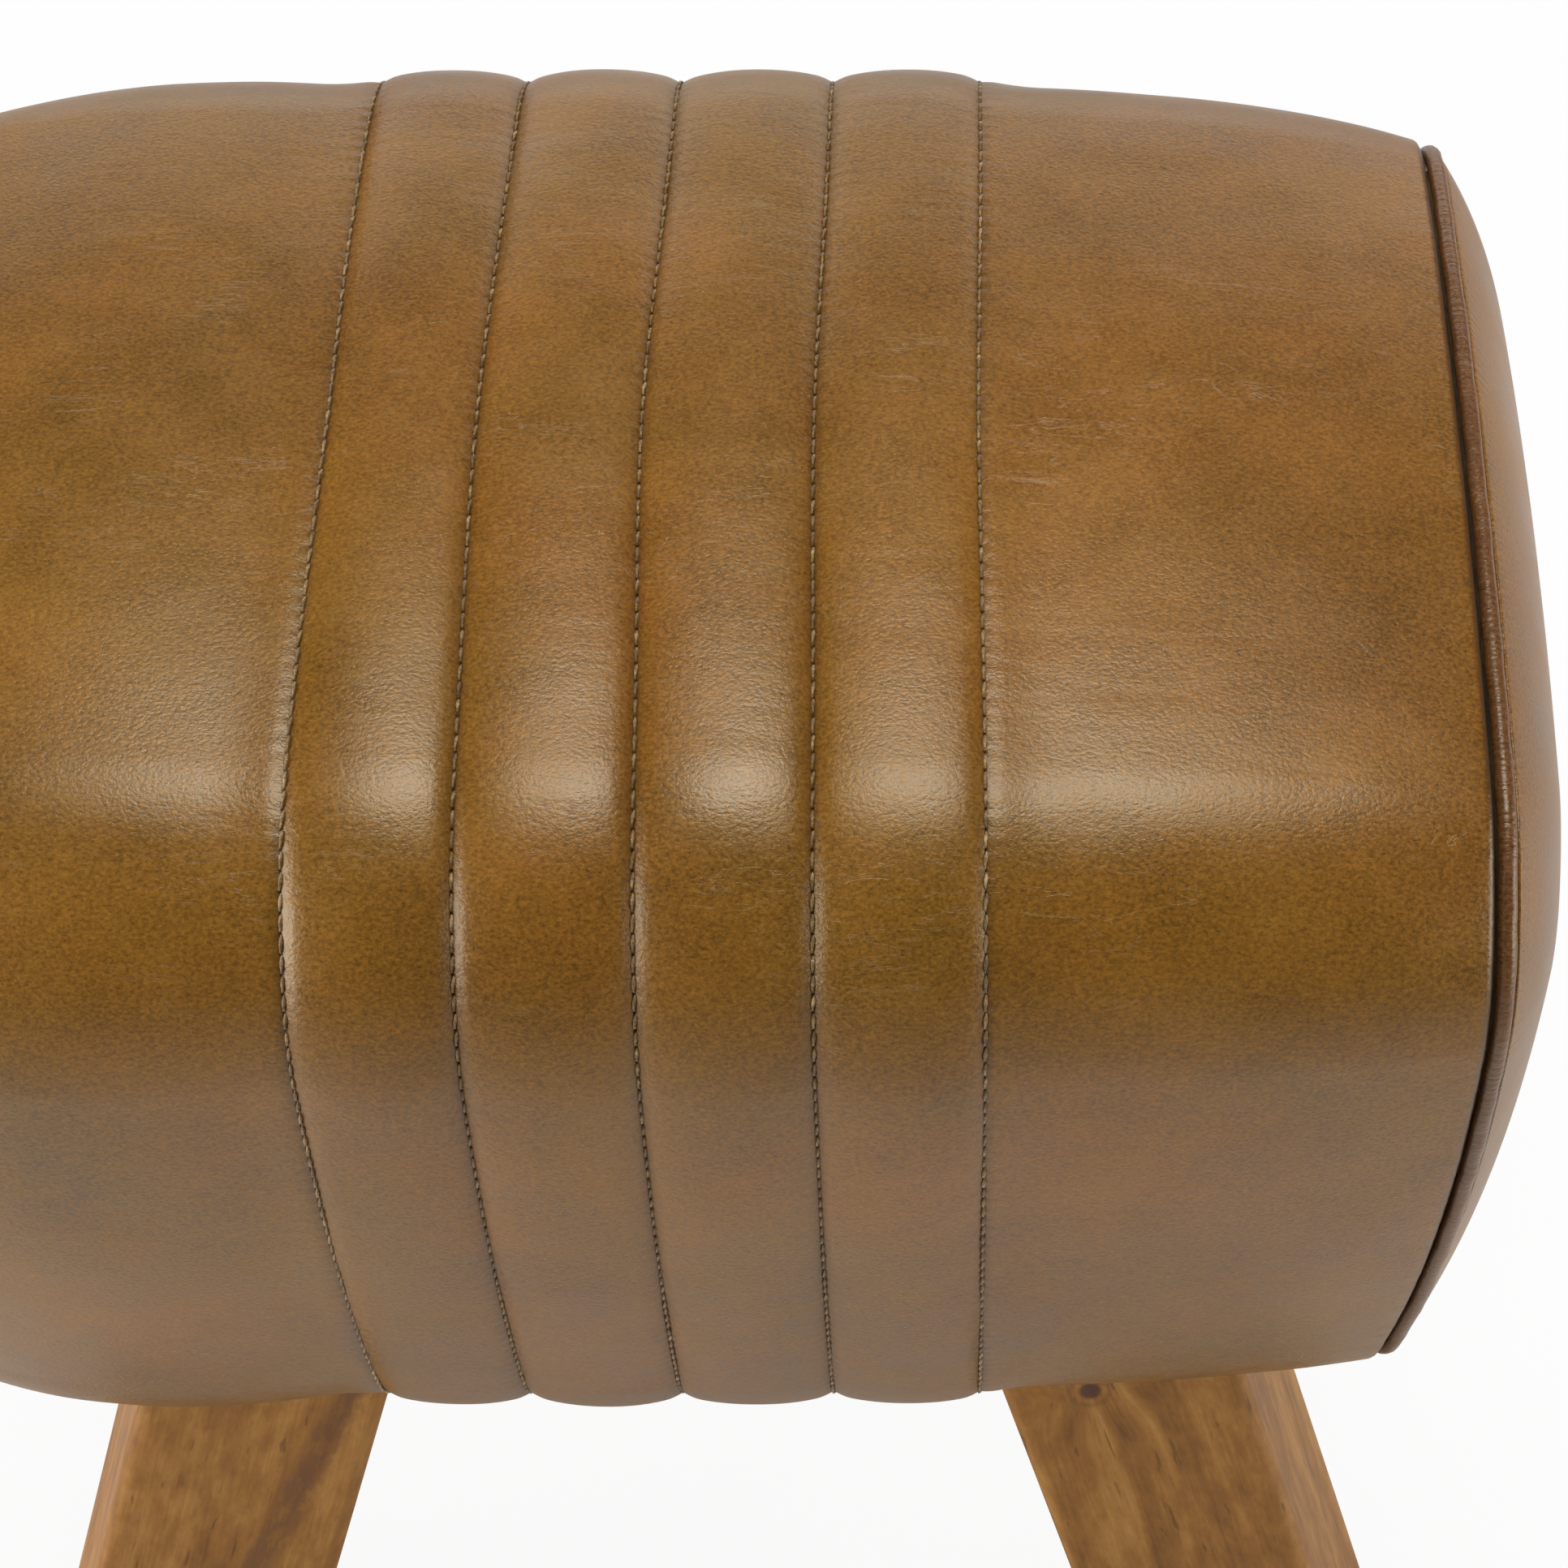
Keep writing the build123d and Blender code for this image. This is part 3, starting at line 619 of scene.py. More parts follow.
def leather(name, olive, tan, dark, seam_shade=False, rim=False, wrinkles=0.0):
    """Waxed full-grain leather: cloudy dye, pebbled grain, pores and faint pale creases, with painted
    shade in seam valleys, at stitch holes and along the rim, and painted highlights on wrinkle crests.
    """
    nodes = Nodes(name)
    place = nodes.place()
    clouds = nodes.noise(place, 12.0, 3.0, 0.55, 0.3)
    patches = nodes.noise(place, 46.0, 3.0, 0.6)
    speckle = nodes.noise(nodes.stretched(place, (0.75, 1, 1)), 1150.0, 2.0, 0.75)
    moved = nodes.vector("ADD", place, (3.1, 1.7, 0.6))
    hue = nodes.remap(nodes.noise(moved, 9.0, 3.0, 0.55, 0.5), 0.22, 0.78)
    colour = nodes.mix(hue, olive, tan)
    tone = nodes.swing(clouds, cloud_depth, 1.0)
    tone = nodes.swing(patches, patch_depth, tone)
    tone = nodes.swing(speckle, grain_depth, tone)
    pores = nodes.remap(nodes.cells(place, 520.0), 0.05, 0.2, pore_depth, 0.0)
    tone = nodes.math("SUBTRACT", tone, pores)
    colour = nodes.add("ShaderNodeHueSaturation", {"Value": tone, "Color": colour}).outputs[0]
    lines = nodes.noise(nodes.stretched(place, (0.12, 1, 1), (0, 0, 0.06)), 120.0, 4.0, 0.62, 1.0)
    line = nodes.math("ABSOLUTE", nodes.math("SUBTRACT", lines, 0.5))
    rare = nodes.remap(nodes.noise(moved, 30.0, 2.0), 0.5, 0.62)
    line = nodes.math("MULTIPLY", nodes.remap(line, 0.0, 0.006, 1.0, 0.0), rare)
    colour = nodes.mix(nodes.math("MULTIPLY", line, 0.2), colour, (0.42, 0.26, 0.12))
    pebbles = nodes.cells(nodes.stretched(place, (0.8, 1, 1)), 980.0)
    height = nodes.math("MULTIPLY_ADD", speckle, 0.8, nodes.math("MULTIPLY", pebbles, -0.3))
    height = nodes.math("MULTIPLY_ADD", line, -0.3, height)
    # Painted shade in the seam valleys and at the stitch holes
    if seam_shade:
        colour = painted_seam_shade(nodes, colour, dark)
    # Painted shadow of the groove beside the piping: the panel darkens towards its rolled rim
    if rim:
        shade = nodes.remap(nodes.attribute("rim"), 0.4, 2.2, 0.92, 0.0)
        colour = nodes.mix(shade, colour, dark)
    normal = nodes.bump(height, grain_height, 0.5)
    if wrinkles:
        inputs = {"W": nodes.attribute("along"), "Scale": 0.55, "Detail": 2.0}
        fold = nodes.add("ShaderNodeTexNoise", inputs, noise_dimensions="1D").outputs[0]
        near_rim = nodes.remap(nodes.attribute("rim"), 0.0, 9.0, 1.0, 0.0)
        edge = nodes.math("MULTIPLY", near_rim, fold)
        normal = nodes.bump(edge, fold_height, wrinkles, normal)
        # Painted highlight: the crests of the wrinkles are lightened
        ridge = nodes.remap(edge, 0.5, 0.72, 0.0, 0.12)
        colour = nodes.mix(ridge, colour, (0.36, 0.24, 0.15))
    uneven = nodes.math("MULTIPLY_ADD", speckle, 0.5, nodes.math("MULTIPLY", patches, 0.5))
    roughness = nodes.remap(uneven, 0.35, 0.65, *leather_roughness)
    wax = {"Specular IOR Level": 0.6, "Specular Tint": (1.0, 0.9, 0.68)}
    return nodes.finish(colour, roughness, normal, **wax)


def wood(name, direction, dark, middle, light, knot=None, offset=0.0, streak=None):
    """Oiled solid wood with its grain along a direction, short dark flecks, a streak and a knot."""
    nodes = Nodes(name)
    turn = Vector(direction).rotation_difference(Vector((0, 0, 1))).to_euler()
    place = nodes.place()
    if knot is not None:
        away = nodes.vector("SUBTRACT", place, knot)
        length = nodes.vector("LENGTH", away, output="Value")
        pull = nodes.remap(length, 0.0, 0.024, 0.7, 0.0)
        place = nodes.vector("ADD", place, nodes.vector("MULTIPLY", away, pull))
    moved = nodes.vector("ADD", place, (offset, offset * 0.7, 0))
    along = nodes.stretched(moved, (1, 1, 0.14), turn)
    board = nodes.noise(along, 30.0, 3.0, 0.55, 1.4)
    bands = nodes.noise(along, 130.0, 4.0, 0.6, 0.8)
    fibres = nodes.noise(nodes.stretched(moved, (1, 1, 0.05), turn), 1000.0, 2.0, 0.6)
    mottle = nodes.noise(nodes.stretched(moved, (1, 1, 0.5), turn), 160.0, 3.0, 0.7)
    tone = nodes.math("MULTIPLY_ADD", board, 0.42, nodes.math("MULTIPLY", bands, 0.22))
    tone = nodes.math("MULTIPLY_ADD", fibres, 0.12, tone)
    tone = nodes.math("MULTIPLY_ADD", mottle, 0.24, tone)
    colour = nodes.ramp(tone, [(0.39, dark), (0.5, middle), (0.62, light)])
    flecks = nodes.noise(nodes.stretched(moved, (1, 1, 0.2), turn), 420.0, 2.0, 0.4, 0.2)
    fleck = nodes.remap(flecks, 0.66, 0.76, 0.0, 0.5)
    colour = nodes.mix(fleck, colour, tuple(0.35 * part for part in dark))
    if streak is not None:
        beside = nodes.vector("SUBTRACT", place, streak)
        across = nodes.vector("DOT_PRODUCT", beside, streak_across, "Value")
        across = nodes.swing(mottle, 0.012, across)
        band = nodes.remap(nodes.math("ABSOLUTE", across), 0.001, 0.0065, 0.65, 0.0)
        band = nodes.math("MULTIPLY", band, nodes.remap(mottle, 0.35, 0.55, 0.35, 1.0))
        colour = nodes.mix(band, colour, rgb(84, 50, 30))
    if knot is not None:
        ring = nodes.math("ABSOLUTE", nodes.math("SUBTRACT", length, 0.0058))
        colour = nodes.mix(nodes.remap(ring, 0.0, 0.0016, 0.3, 0.0), colour, rgb(84, 52, 34))
        core = nodes.remap(length, 0.0022, 0.004, 0.85, 0.0)
        colour = nodes.mix(core, colour, rgb(70, 44, 36))
    height = nodes.math("MULTIPLY_ADD", fibres, 0.5, nodes.math("MULTIPLY", fleck, -0.8))
    normal = nodes.bump(height, 0.0002, 0.5)
    roughness = nodes.remap(fibres, 0.3, 0.7, 0.48, 0.6)
    return nodes.finish(colour, roughness, normal, **{"Specular IOR Level": 0.3})


def cloth(name, colour, scale, roughness):
    """Close woven or felted cloth."""
    nodes = Nodes(name)
    fibre = nodes.noise(nodes.place(), scale, 3.0, 0.7)
    darker = tuple(0.6 * part for part in colour)
    tint = nodes.ramp(fibre, [(0.3, darker), (0.7, colour)])
    return nodes.finish(tint, roughness, nodes.bump(fibre, 0.0003, 0.7), **{"Sheen Weight": 0.2})


def metal(name, colour, roughness):
    """Zinc-plated steel with fine brushing."""
    nodes = Nodes(name)
    brush = nodes.noise(nodes.stretched(nodes.place(), (1, 1, 0.1)), 1500.0, 2.0)
    shade = nodes.remap(brush, 0.3, 0.7, roughness - 0.06, roughness + 0.1)
    return nodes.finish(colour, shade, nodes.bump(brush, 0.00005, 0.3), Metallic=1.0)


def plastic(name, colour):
    """Moulded plastic with a fine spark-eroded grain."""
    nodes = Nodes(name)
    grain = nodes.noise(nodes.place(), 1800.0, 2.0)
    tint = nodes.ramp(grain, [(0.35, tuple(0.8 * part for part in colour)), (0.65, colour)])
    return nodes.finish(tint, 0.55, nodes.bump(grain, 0.0001, 0.5))


def thread():
    """Waxed thread in olive brown, from darker to paler, its palest patches painted glints."""
    nodes = Nodes("seam_thread")
    place = nodes.place()
    shade = nodes.noise(place, 260.0, 3.0, 0.7)
    fibre = nodes.noise(place, 2600.0, 2.0, 0.7)
    tone = nodes.math("MULTIPLY_ADD", shade, 0.6, nodes.math("MULTIPLY", fibre, 0.4))
    # The thread's tone varies at random; its palest stop is a painted highlight standing in for glints
    dark, middle, light = rgb(88, 62, 28), rgb(132, 102, 56), rgb(192, 164, 116)
    colour = nodes.ramp(tone, [(0.4, dark), (0.52, middle), (0.64, light)])
    return nodes.finish(colour, 0.55, nodes.bump(fibre, 0.0001, 0.8), **{"Sheen Weight": 0.2})


# The third leather tone is the colour of painted shade in seam valleys, at stitch holes and along the
# plain panels' rims
leather_tones = rgb(117, 80, 20), rgb(126, 80, 21), rgb(66, 38, 14)
piping_tones = rgb(98, 62, 28), rgb(106, 66, 32), rgb(66, 38, 14)
wood_tones = rgb(112, 71, 23), rgb(145, 97, 38), rgb(176, 127, 62)
block_tones = rgb(160, 120, 76), rgb(186, 150, 104), rgb(204, 172, 128)
ply_tones = rgb(176, 140, 94), rgb(202, 168, 120), rgb(220, 190, 146)
materials = {
    # Body and plain leather have painted shade in their seam valleys and at their stitch holes
    "body_leather": leather("body_leather", *leather_tones, seam_shade=True),
    # Plain leather also has a painted shadow along its rim by the piping
    "plain_leather": leather("plain_leather", *leather_tones, seam_shade=True, rim=True),
    # End and piping leather have painted highlights on their wrinkle crests
    "end_leather": leather("end_leather", *leather_tones, wrinkles=0.3),
    "piping_leather": leather("piping_leather", *piping_tones, wrinkles=0.3),
    "seam_thread": thread(),
    "glide_plastic": plastic("glide_plastic", rgb(44, 38, 34)),
    "block_wood": wood("block_wood", (1, 0, 0), *block_tones),
    "carcass_ply": wood("carcass_ply", (1, 0, 0), *ply_tones),
    "fixing_steel": metal("fixing_steel", rgb(176, 176, 174), 0.34),
    "insert_steel": metal("insert_steel", rgb(186, 178, 156), 0.38),
}
cloth_looks = {
    "foam": (rgb(226, 214, 176), 900.0, 0.95),
    "wadding": (rgb(228, 226, 220), 600.0, 0.95),
    "backing_cloth": (rgb(206, 198, 184), 1400.0, 0.9),
    "welt_cord": (rgb(216, 210, 196), 1400.0, 0.9),
    "cover_cloth": (rgb(38, 37, 36), 2200.0, 0.9),
}
for cloth_name, look in cloth_looks.items():
    materials[cloth_name] = cloth(cloth_name, *look)


def leg_material(name, x_sign, y_sign):
    """Wood of one leg, with the grain along its splay."""
    slope_x, slope_y = math.tan(math.radians(leg_splay_x)), math.tan(math.radians(leg_splay_y))
    direction = (x_sign * slope_x, y_sign * slope_y, -1)
    knot = knot_place if name == "leg_front_right" else None
    streak = streak_place if name == "leg_front_left" else None
    offset = 0.31 * (x_sign + 2 * y_sign)
    return wood(name, direction, *wood_tones, knot, offset, streak)


def dress_cad_nodes():
    """Give every carried-over node the material of its slot, and each leg its own grain."""
    slots = {part["node"]: part["material_slot"] for part in frame["record"]["subparts"]}
    for name, piece in frame["nodes"].items():
        if slots[name] == "leg_wood":
            material = leg_material(name, *corners[name.removeprefix("leg_")])
        else:
            material = materials[slots[name]]
        piece.data.materials.clear()
        piece.data.materials.append(material)


# Leather body


def rib_rise(index, share):
    """Height of a rib's round at a share of its width."""
    return rib_crown * rib_crown_shares[index] * (1 - np.abs(2 * share - 1) ** rib_fullness)


def make_rib(index):
    """Padded rib between two seams."""
    places = graded(rib_width, True, True)
    along, angle = band.along(), band.signed_angles()
    start, end = seam_x(index, along), seam_x(index + 1, along)
    share = places[None, :] / rib_width
    x = start + share * (end - start)
    distance = np.minimum(share, 1 - share) * (end - start)
    rise = rib_rise(index, share)
    swell = smooth_noise(np.full_like(x, index * 3.1), along + 0 * x, rib_swell_size, 11)
    fullness = 1 + rib_unevenness * swell
    offset = rise * fullness + seam_relief(distance, along + 0 * x) + hide_relief(x, along, angle)
    points = band.whole(x, offset)
    attributes = {"seam": distance, "along": along + 0 * x}
    name = f"rib_{index + 1}"
    piece = new_piece(name, points, grid_faces(*x.shape), "body_leather", attributes)
    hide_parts(f"rib_panel_{index + 1}")
    return thicken(piece, leather_thickness)


def make_plain_panel(end_name, side):
    """Plain leather panel from the band to the piping, rolled in at its end and closed under it."""
    roll_turns = np.radians([20, 40, 60, 75, 90])
    flat_end = plain_length - panel_edge_radius
    places = np.append(graded(flat_end, True, False), flat_end + panel_edge_radius * np.sin(roll_turns))
    rolled = panel_edge_radius * (1 - np.cos(roll_turns))
    roll = np.append(np.zeros(len(places) - len(rolled)), rolled)
    places, roll = np.append(places, places[-1]), np.append(roll, groove_depth)
    along, angle = shell.along(), shell.signed_angles()
    share = places[None, :] / plain_length + 0 * along
    seam = seam_x(rib_count if side > 0 else 0, along)
    x = seam + (side * plain_end - seam) * share
    distance = share * plain_length
    rim = (1 - share) * plain_length - np.maximum(roll - panel_edge_radius, 0)
    wrinkle = smooth_noise(along + 0 * x, rim, wrinkle_size, 6) * np.exp(-np.abs(rim) / wrinkle_reach)
    wrinkle = wrinkle_height * wrinkle
    drop = plain_drop(side, share, angle) + roll[None, :]
    offset = seam_relief(distance, along + 0 * x) + hide_relief(x, along, angle) + wrinkle - drop
    points = shell.whole(x, offset, roll[None, :])[:-1]
    faces = grid_faces(len(points), len(places), flip=side < 0, wrap_rows=True)
    flat = points.reshape(-1, 3)[np.array(faces)].mean(1)
    hole = (np.abs(flat[:, 0]) < hem_half_length) & (np.abs(flat[:, 1]) < hem_half_width())
    faces = [face for face, open_base in zip(faces, hole & (flat[:, 2] < middle_level)) if not open_base]
    attributes = {"seam": distance[:-1], "rim": rim[:-1], "along": along[:-1] + 0 * x[:-1]}
    piece = new_piece(f"plain_{end_name}", points, faces, "body_leather", attributes, "plain_leather")
    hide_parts(f"plain_panel_{end_name}")
    return thicken(piece, leather_thickness)


def make_stitches(index):
    """Topstitching of one seam: a row of arched two-ply stitches that dive into their holes."""
    last = math.floor((band.reach[-1] - stitch_pitch) / stitch_pitch)
    starts = np.arange(-last, last) * stitch_pitch + stitch_pitch / 2
    share = np.linspace(0, 1, stitch_rings)
    along = starts[:, None] + share[None, :] * stitch_pitch
    y, z = (np.interp(np.abs(along), band.reach, values) for values in (band.y, band.z))
    turn = np.radians(np.interp(np.abs(along), band.reach, band.angles)) * np.sign(along)
    y = y * np.sign(along)
    arch = np.sin(math.pi * share) ** stitch_arch_power
    uneven = np.random.default_rng(50 + index).uniform(-1, 1, (len(starts), 1))
    lift = stitch_rise * arch - valley_depth - stitch_sink + stitch_unevenness * uneven
    slant = stitch_slant * (1 + slant_unevenness * uneven[::-1])
    x = seam_x(index, along) + slant * (2 * share - 1)
    around = np.linspace(0, 2 * math.pi, thread_sides, endpoint=False)
    twist = 2 * math.pi * ply_turns * share[:, None]
    ply = 1 + ply_height * np.cos(2 * (around - twist))
    thinner = stitch_end_share + (1 - stitch_end_share) * arch[:, None]
    radius = stitch_radius * thinner * ply
    out = lift[:, :, None] + stitch_height_share * radius * np.sin(around)
    points = np.stack([
        x[:, :, None] + radius * np.cos(around),
        y[:, :, None] + np.sin(turn)[:, :, None] * out,
        z[:, :, None] + np.cos(turn)[:, :, None] * out,
    ], -1)
    faces = []
    for start in np.arange(len(starts)) * stitch_rings * thread_sides:
        faces += grid_faces(stitch_rings, thread_sides, wrap_columns=True, start=int(start))
        first = [int(start) + k for k in range(thread_sides)]
        faces += [first[::-1], [point + (stitch_rings - 1) * thread_sides for point in first]]
    piece = new_piece(f"topstitching_{index + 1}", points, faces, "seam_thread")
    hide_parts(f"seam_thread_{index + 1}")


# Piping and ends


def make_piping(end_name, side):
    """Leather piping over its cord, sunk beside the panel's edge all round the end."""
    angle, along = shell.signed_angles(), shell.along()
    around = np.linspace(0, 2 * math.pi, piping_sides, endpoint=False)[None, :]
    uneven = smooth_noise(along + 0 * around, np.cos(around) + 3 + 0 * along, piping_swell_size, 21)
    radius = piping_radius * (1 + piping_unevenness * uneven)
    path_x = np.full((len(angle), 1), side * piping_x)
    inset = plain_end_drop + piping_sink + corner_slack(angle)
    path = shell.whole(path_x, -inset, piping_radius + piping_clearance)
    turn = np.radians(angle)
    out = np.stack([0 * turn, np.sin(turn), np.cos(turn)], -1)
    across = np.array([1.0, 0, 0])
    ring = np.cos(around)[..., None] * across + np.sin(around)[..., None] * out
    points = (path + radius[..., None] * ring)[:-1]
    faces = grid_faces(len(points), piping_sides, flip=True, wrap_rows=True, wrap_columns=True)
    attributes = {"along": along[:-1] + 0 * around, "rim": 0 * points[..., 0] + 2}
    piece = new_piece(f"piping_{end_name}", points, faces, "piping_leather", attributes)
    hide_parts(f"piping_cover_{end_name}", f"piping_cord_{end_name}")


def end_form(name, side, columns, slot_name, back=False, wave=0.0):
    """Form that closes an end, from columns of x, inset, lift and share of the section."""
    angle, along = ends_section.signed_angles(), ends_section.along()
    grid = []
    for x, inset, lift, share in columns:
        ripple = smooth_noise(along, np.full_like(along, 4 * share), end_wave_size, 31)
        ripple = wave * ripple * (1 - share)
        place_x = np.full((len(angle), 1), side * x)
        offset = ripple - inset - corner_slack(angle) * (inset > plain_end_drop)
        grid.append(ends_section.whole(place_x, offset, lift, share)[:-1, 0])
    points = np.stack(grid, 1)
    rows, count = points.shape[:2]
    faces = grid_faces(rows, count, flip=side < 0, wrap_rows=True)
    poles = [(count - 1, 1)] + ([(0, -1)] if back else [])
    flat_points = points.reshape(-1, 3)
    for column, facing in poles:
        tip = len(flat_points)
        flat_points = np.vstack([flat_points, points[:, column].mean(0)])
        for row in range(rows):
            pair = [row * count + column, (row + 1) % rows * count + column]
            faces.append([*(pair[::-1] if side * facing > 0 else pair), tip])
    rim = end_half_size * (1 - np.array([share for _, _, _, share in columns]))
    attributes = {
        "rim": np.append((rim[None, :] + np.zeros((rows, 1))).ravel(), [end_half_size] * len(poles)),
        "along": np.append((along[:-1] + np.zeros((1, count))).ravel(), [0.0] * len(poles)),
    }
    return new_piece(name, flat_points, faces, slot_name, attributes)


def dome_columns(gap):
    """Columns of an end's crowned front, a gap inside its outer face."""
    radius = end_edge_radius
    inset = plain_end_drop + end_sink + gap
    lift = end_lift + gap
    columns = []
    for turn in np.radians([0, 25, 50, 75, 100]):
        x, deeper = end_x - gap + radius * (1 - math.cos(turn)), radius * (1 - math.sin(turn))
        columns.append((x, inset + deeper, lift + deeper, 1))
    start = columns[-1][0]
    for share in 1 - np.linspace(0.01, 0.97, end_rings) ** 1.5:
        columns.append((start + end_crown * (1 - share ** end_power), inset, lift, share))
    return columns


def make_end(end_name, side):
    """Crowned leather end panel over its foam pad and slab."""
    edge = dome_columns(0)
    x, inset, lift, _ = edge[0]
    groove = (x, inset + groove_depth, lift + groove_depth, 1)
    panel = end_form(f"end_cap_{end_name}", side, [groove] + edge, "end_leather", wave=end_wave)
    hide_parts(f"end_panel_{end_name}")
    thicken(panel, leather_thickness)
    front = dome_columns(leather_thickness + foam_gap)
    x, inset, lift, _ = front[0]
    back = [(x, inset + 1, lift + 1, share) for share in (0.1, 0.5, 0.9, 0.99)]
    pad = end_form(f"end_foam_{end_name}", side, back + front, "foam", back=True)
    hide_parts(f"end_pad_{end_name}")
    inset, lift = plain_end_drop + leather_thickness + foam_gap, leather_thickness + lay_gap
    start, end = carcass_half_length, plain_end - foam_gap
    faces = [(start, share) for share in (0.1, 0.5, 0.9, 1)]
    faces += [((start + end) / 2, 1)] + [(end, share) for share in (1, 0.9, 0.5, 0.1)]
    columns = []
    for x, share in faces:
        deeper = groove_depth * (x > start)
        columns.append((x, inset + deeper, lift + deeper, share))
    slab = end_form(f"end_slab_foam_{end_name}", side, columns, "foam", back=True)
    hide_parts(f"end_slab_{end_name}")


# Wadding, backing cloth and foam


def closed_strip(name, outer, inner, slot_name):
    """Closed soft form between an outer and an inner grid of points."""
    rows, columns = outer.shape[:2]
    inside = rows * columns
    faces = grid_faces(rows, columns) + grid_faces(rows, columns, flip=True, start=inside)
    numbers = np.arange(inside).reshape(rows, columns)
    for edge in (numbers[:, 0], numbers[::-1, -1], numbers[0, ::-1], numbers[-1]):
        for a, b in zip(edge[:-1].tolist(), edge[1:].tolist()):
            faces.append([a, b, inside + b, inside + a])
    points = np.concatenate([outer.reshape(-1, 3), inner.reshape(-1, 3)])
    return new_piece(name, points, faces, slot_name)


def make_wadding(index):
    """Wadding that fills one rib, down to the backing cloth."""
    along, share = inner.along(), np.linspace(0, 1, 9)[None, :]
    start, end = seam_x(index, along) + 1, seam_x(index + 1, along) - 1
    x = start + share * (end - start)
    rise = rib_rise(index, share)
    valley = valley_depth * (1 - np.sin(math.pi * share) ** 0.3)
    top = rise - leather_thickness - lay_gap - valley + 0 * along
    low = np.full_like(x, -leather_thickness - wadding_edge - 2 * lay_gap)
    outer, under = inner.whole(x, top), inner.whole(x, low)
    kept = under[:, 0, 2] > board_level + wadding_end
    piece = closed_strip(f"wadding_{index + 1}", outer[kept], under[kept], "wadding")
    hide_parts(f"rib_wadding_{index + 1}")


def make_backing():
    """Cloth that the ribs are stitched to."""
    along = inner.along()
    x = np.linspace(-band_half_length, band_half_length, 15)[None, :] + 0 * along
    points = inner.whole(x, np.full_like(x, -padding_inset + foam_gap))
    points = points[points[:, 0, 2] > board_level + wadding_end]
    piece = new_piece("backing", points, grid_faces(*points.shape[:2]), "backing_cloth")
    thicken(piece, cloth_thickness)
    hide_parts("rib_backing")


def foam_offset(x):
    """Offset of the foam's face under the leather."""
    share = plain_share(x)
    drop = plain_drop(1, share, 0 * share) + leather_thickness + foam_gap
    return -np.maximum(drop, padding_inset)


def make_seat_foam():
    """Foam round the carcass: a slab on its top board and one down each long side."""
    angle = inner.signed_angles()
    x = np.linspace(-carcass_half_length, carcass_half_length, 25)[None, :] + 0 * angle
    points = inner.whole(x, foam_offset(x), leather_thickness + lay_gap, shift=0)
    middle = points[:, points.shape[1] // 2]
    on_top = middle[:, 2] > deck_top
    outer = points[on_top]
    under = outer * np.array([1, 1, 0]) + np.array([0, 0, deck_top + lay_gap])
    piece = closed_strip("seat_foam_top", outer, under, "foam")
    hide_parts("foam_top")
    beside = ~on_top & (np.abs(middle[:, 1]) > side_half_width(board_top))
    for name, side in sides.items():
        outer = points[beside & (side * angle[:, 0] > 0)]
        share = np.linspace(0, 1, len(outer))
        share = share if outer[0, 0, 2] > outer[-1, 0, 2] else share[::-1]
        level = deck_top + share * (board_level - deck_top)
        width = side_half_width(np.clip(level, board_top, deck_bottom)) + foam_gap
        carcass = np.stack([0 * width, side * width, level], -1)[:, None, :]
        under = outer * np.array([1, 0, 0]) + carcass
        under[..., 1] = side * np.minimum(np.abs(under[..., 1]), np.abs(outer[..., 1]) - foam_gap)
        piece = closed_strip(f"seat_foam_{name}", outer, under, "foam")
        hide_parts(f"foam_{name}")


# Underside cloth


def divided(marks, step):
    """Places between marks, no further apart than a step."""
    places = [marks[0]]
    for start, end in zip(marks, marks[1:]):
        places += list(np.linspace(start, end, max(1, math.ceil((end - start) / step)) + 1)[1:])
    return np.array(places)


def make_underside():
    """Dust cover cloth between the legs, stapled at its edge and a little slack between."""
    half_x, half_y = hem_half_length + cover_overlap, hem_half_width() + cover_overlap
    outer_x = carcass_half_length - leg_end_setback + leg_clearance
    inner_x = outer_x - leg_width - 2 * leg_clearance
    notch_y = side_half_width(board_top) - leg_side_setback - leg_depth - leg_clearance
    xs = divided([-half_x, -outer_x, -inner_x, inner_x, outer_x, half_x], cloth_step)
    ys = divided([-half_y, -notch_y, notch_y, half_y], cloth_step)
    x, y = np.meshgrid(xs, ys, indexing="ij")
    edge = np.minimum(half_x - np.abs(x), half_y - np.abs(y))
    between_legs = (inner_x + cover_leg_reach / 2 - np.abs(x)) / cover_leg_reach
    middle = np.clip(edge / cover_sag_reach, 0, 1) * np.clip(between_legs, cover_leg_sag_share, 1)
    wave = cover_wave * smooth_noise(x, y, cover_wave_size, 41) * np.clip(edge / cover_wave_reach, 0, 1)
    level = base_level - lay_gap - np.maximum(cover_sag * middle + wave, 0)
    points = np.stack([x, y, level], -1)
    faces = []
    for i, middle_x in enumerate(np.abs(xs[1:] + xs[:-1]) / 2):
        for j, middle_y in enumerate(np.abs(ys[1:] + ys[:-1]) / 2):
            if not (inner_x < middle_x < outer_x and middle_y > notch_y):
                corner = i * len(ys) + j
                faces.append([corner, corner + 1, corner + len(ys) + 1, corner + len(ys)])
    used = sorted({point for face in faces for point in face})
    order = {point: place for place, point in enumerate(used)}
    faces = [[order[point] for point in face] for face in faces]
    piece = new_piece("underside_cloth", points.reshape(-1, 3)[used], faces, "cover_cloth")
    thicken(piece, cover_thickness)
    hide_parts("dust_cover")


# Stage, lamps and camera


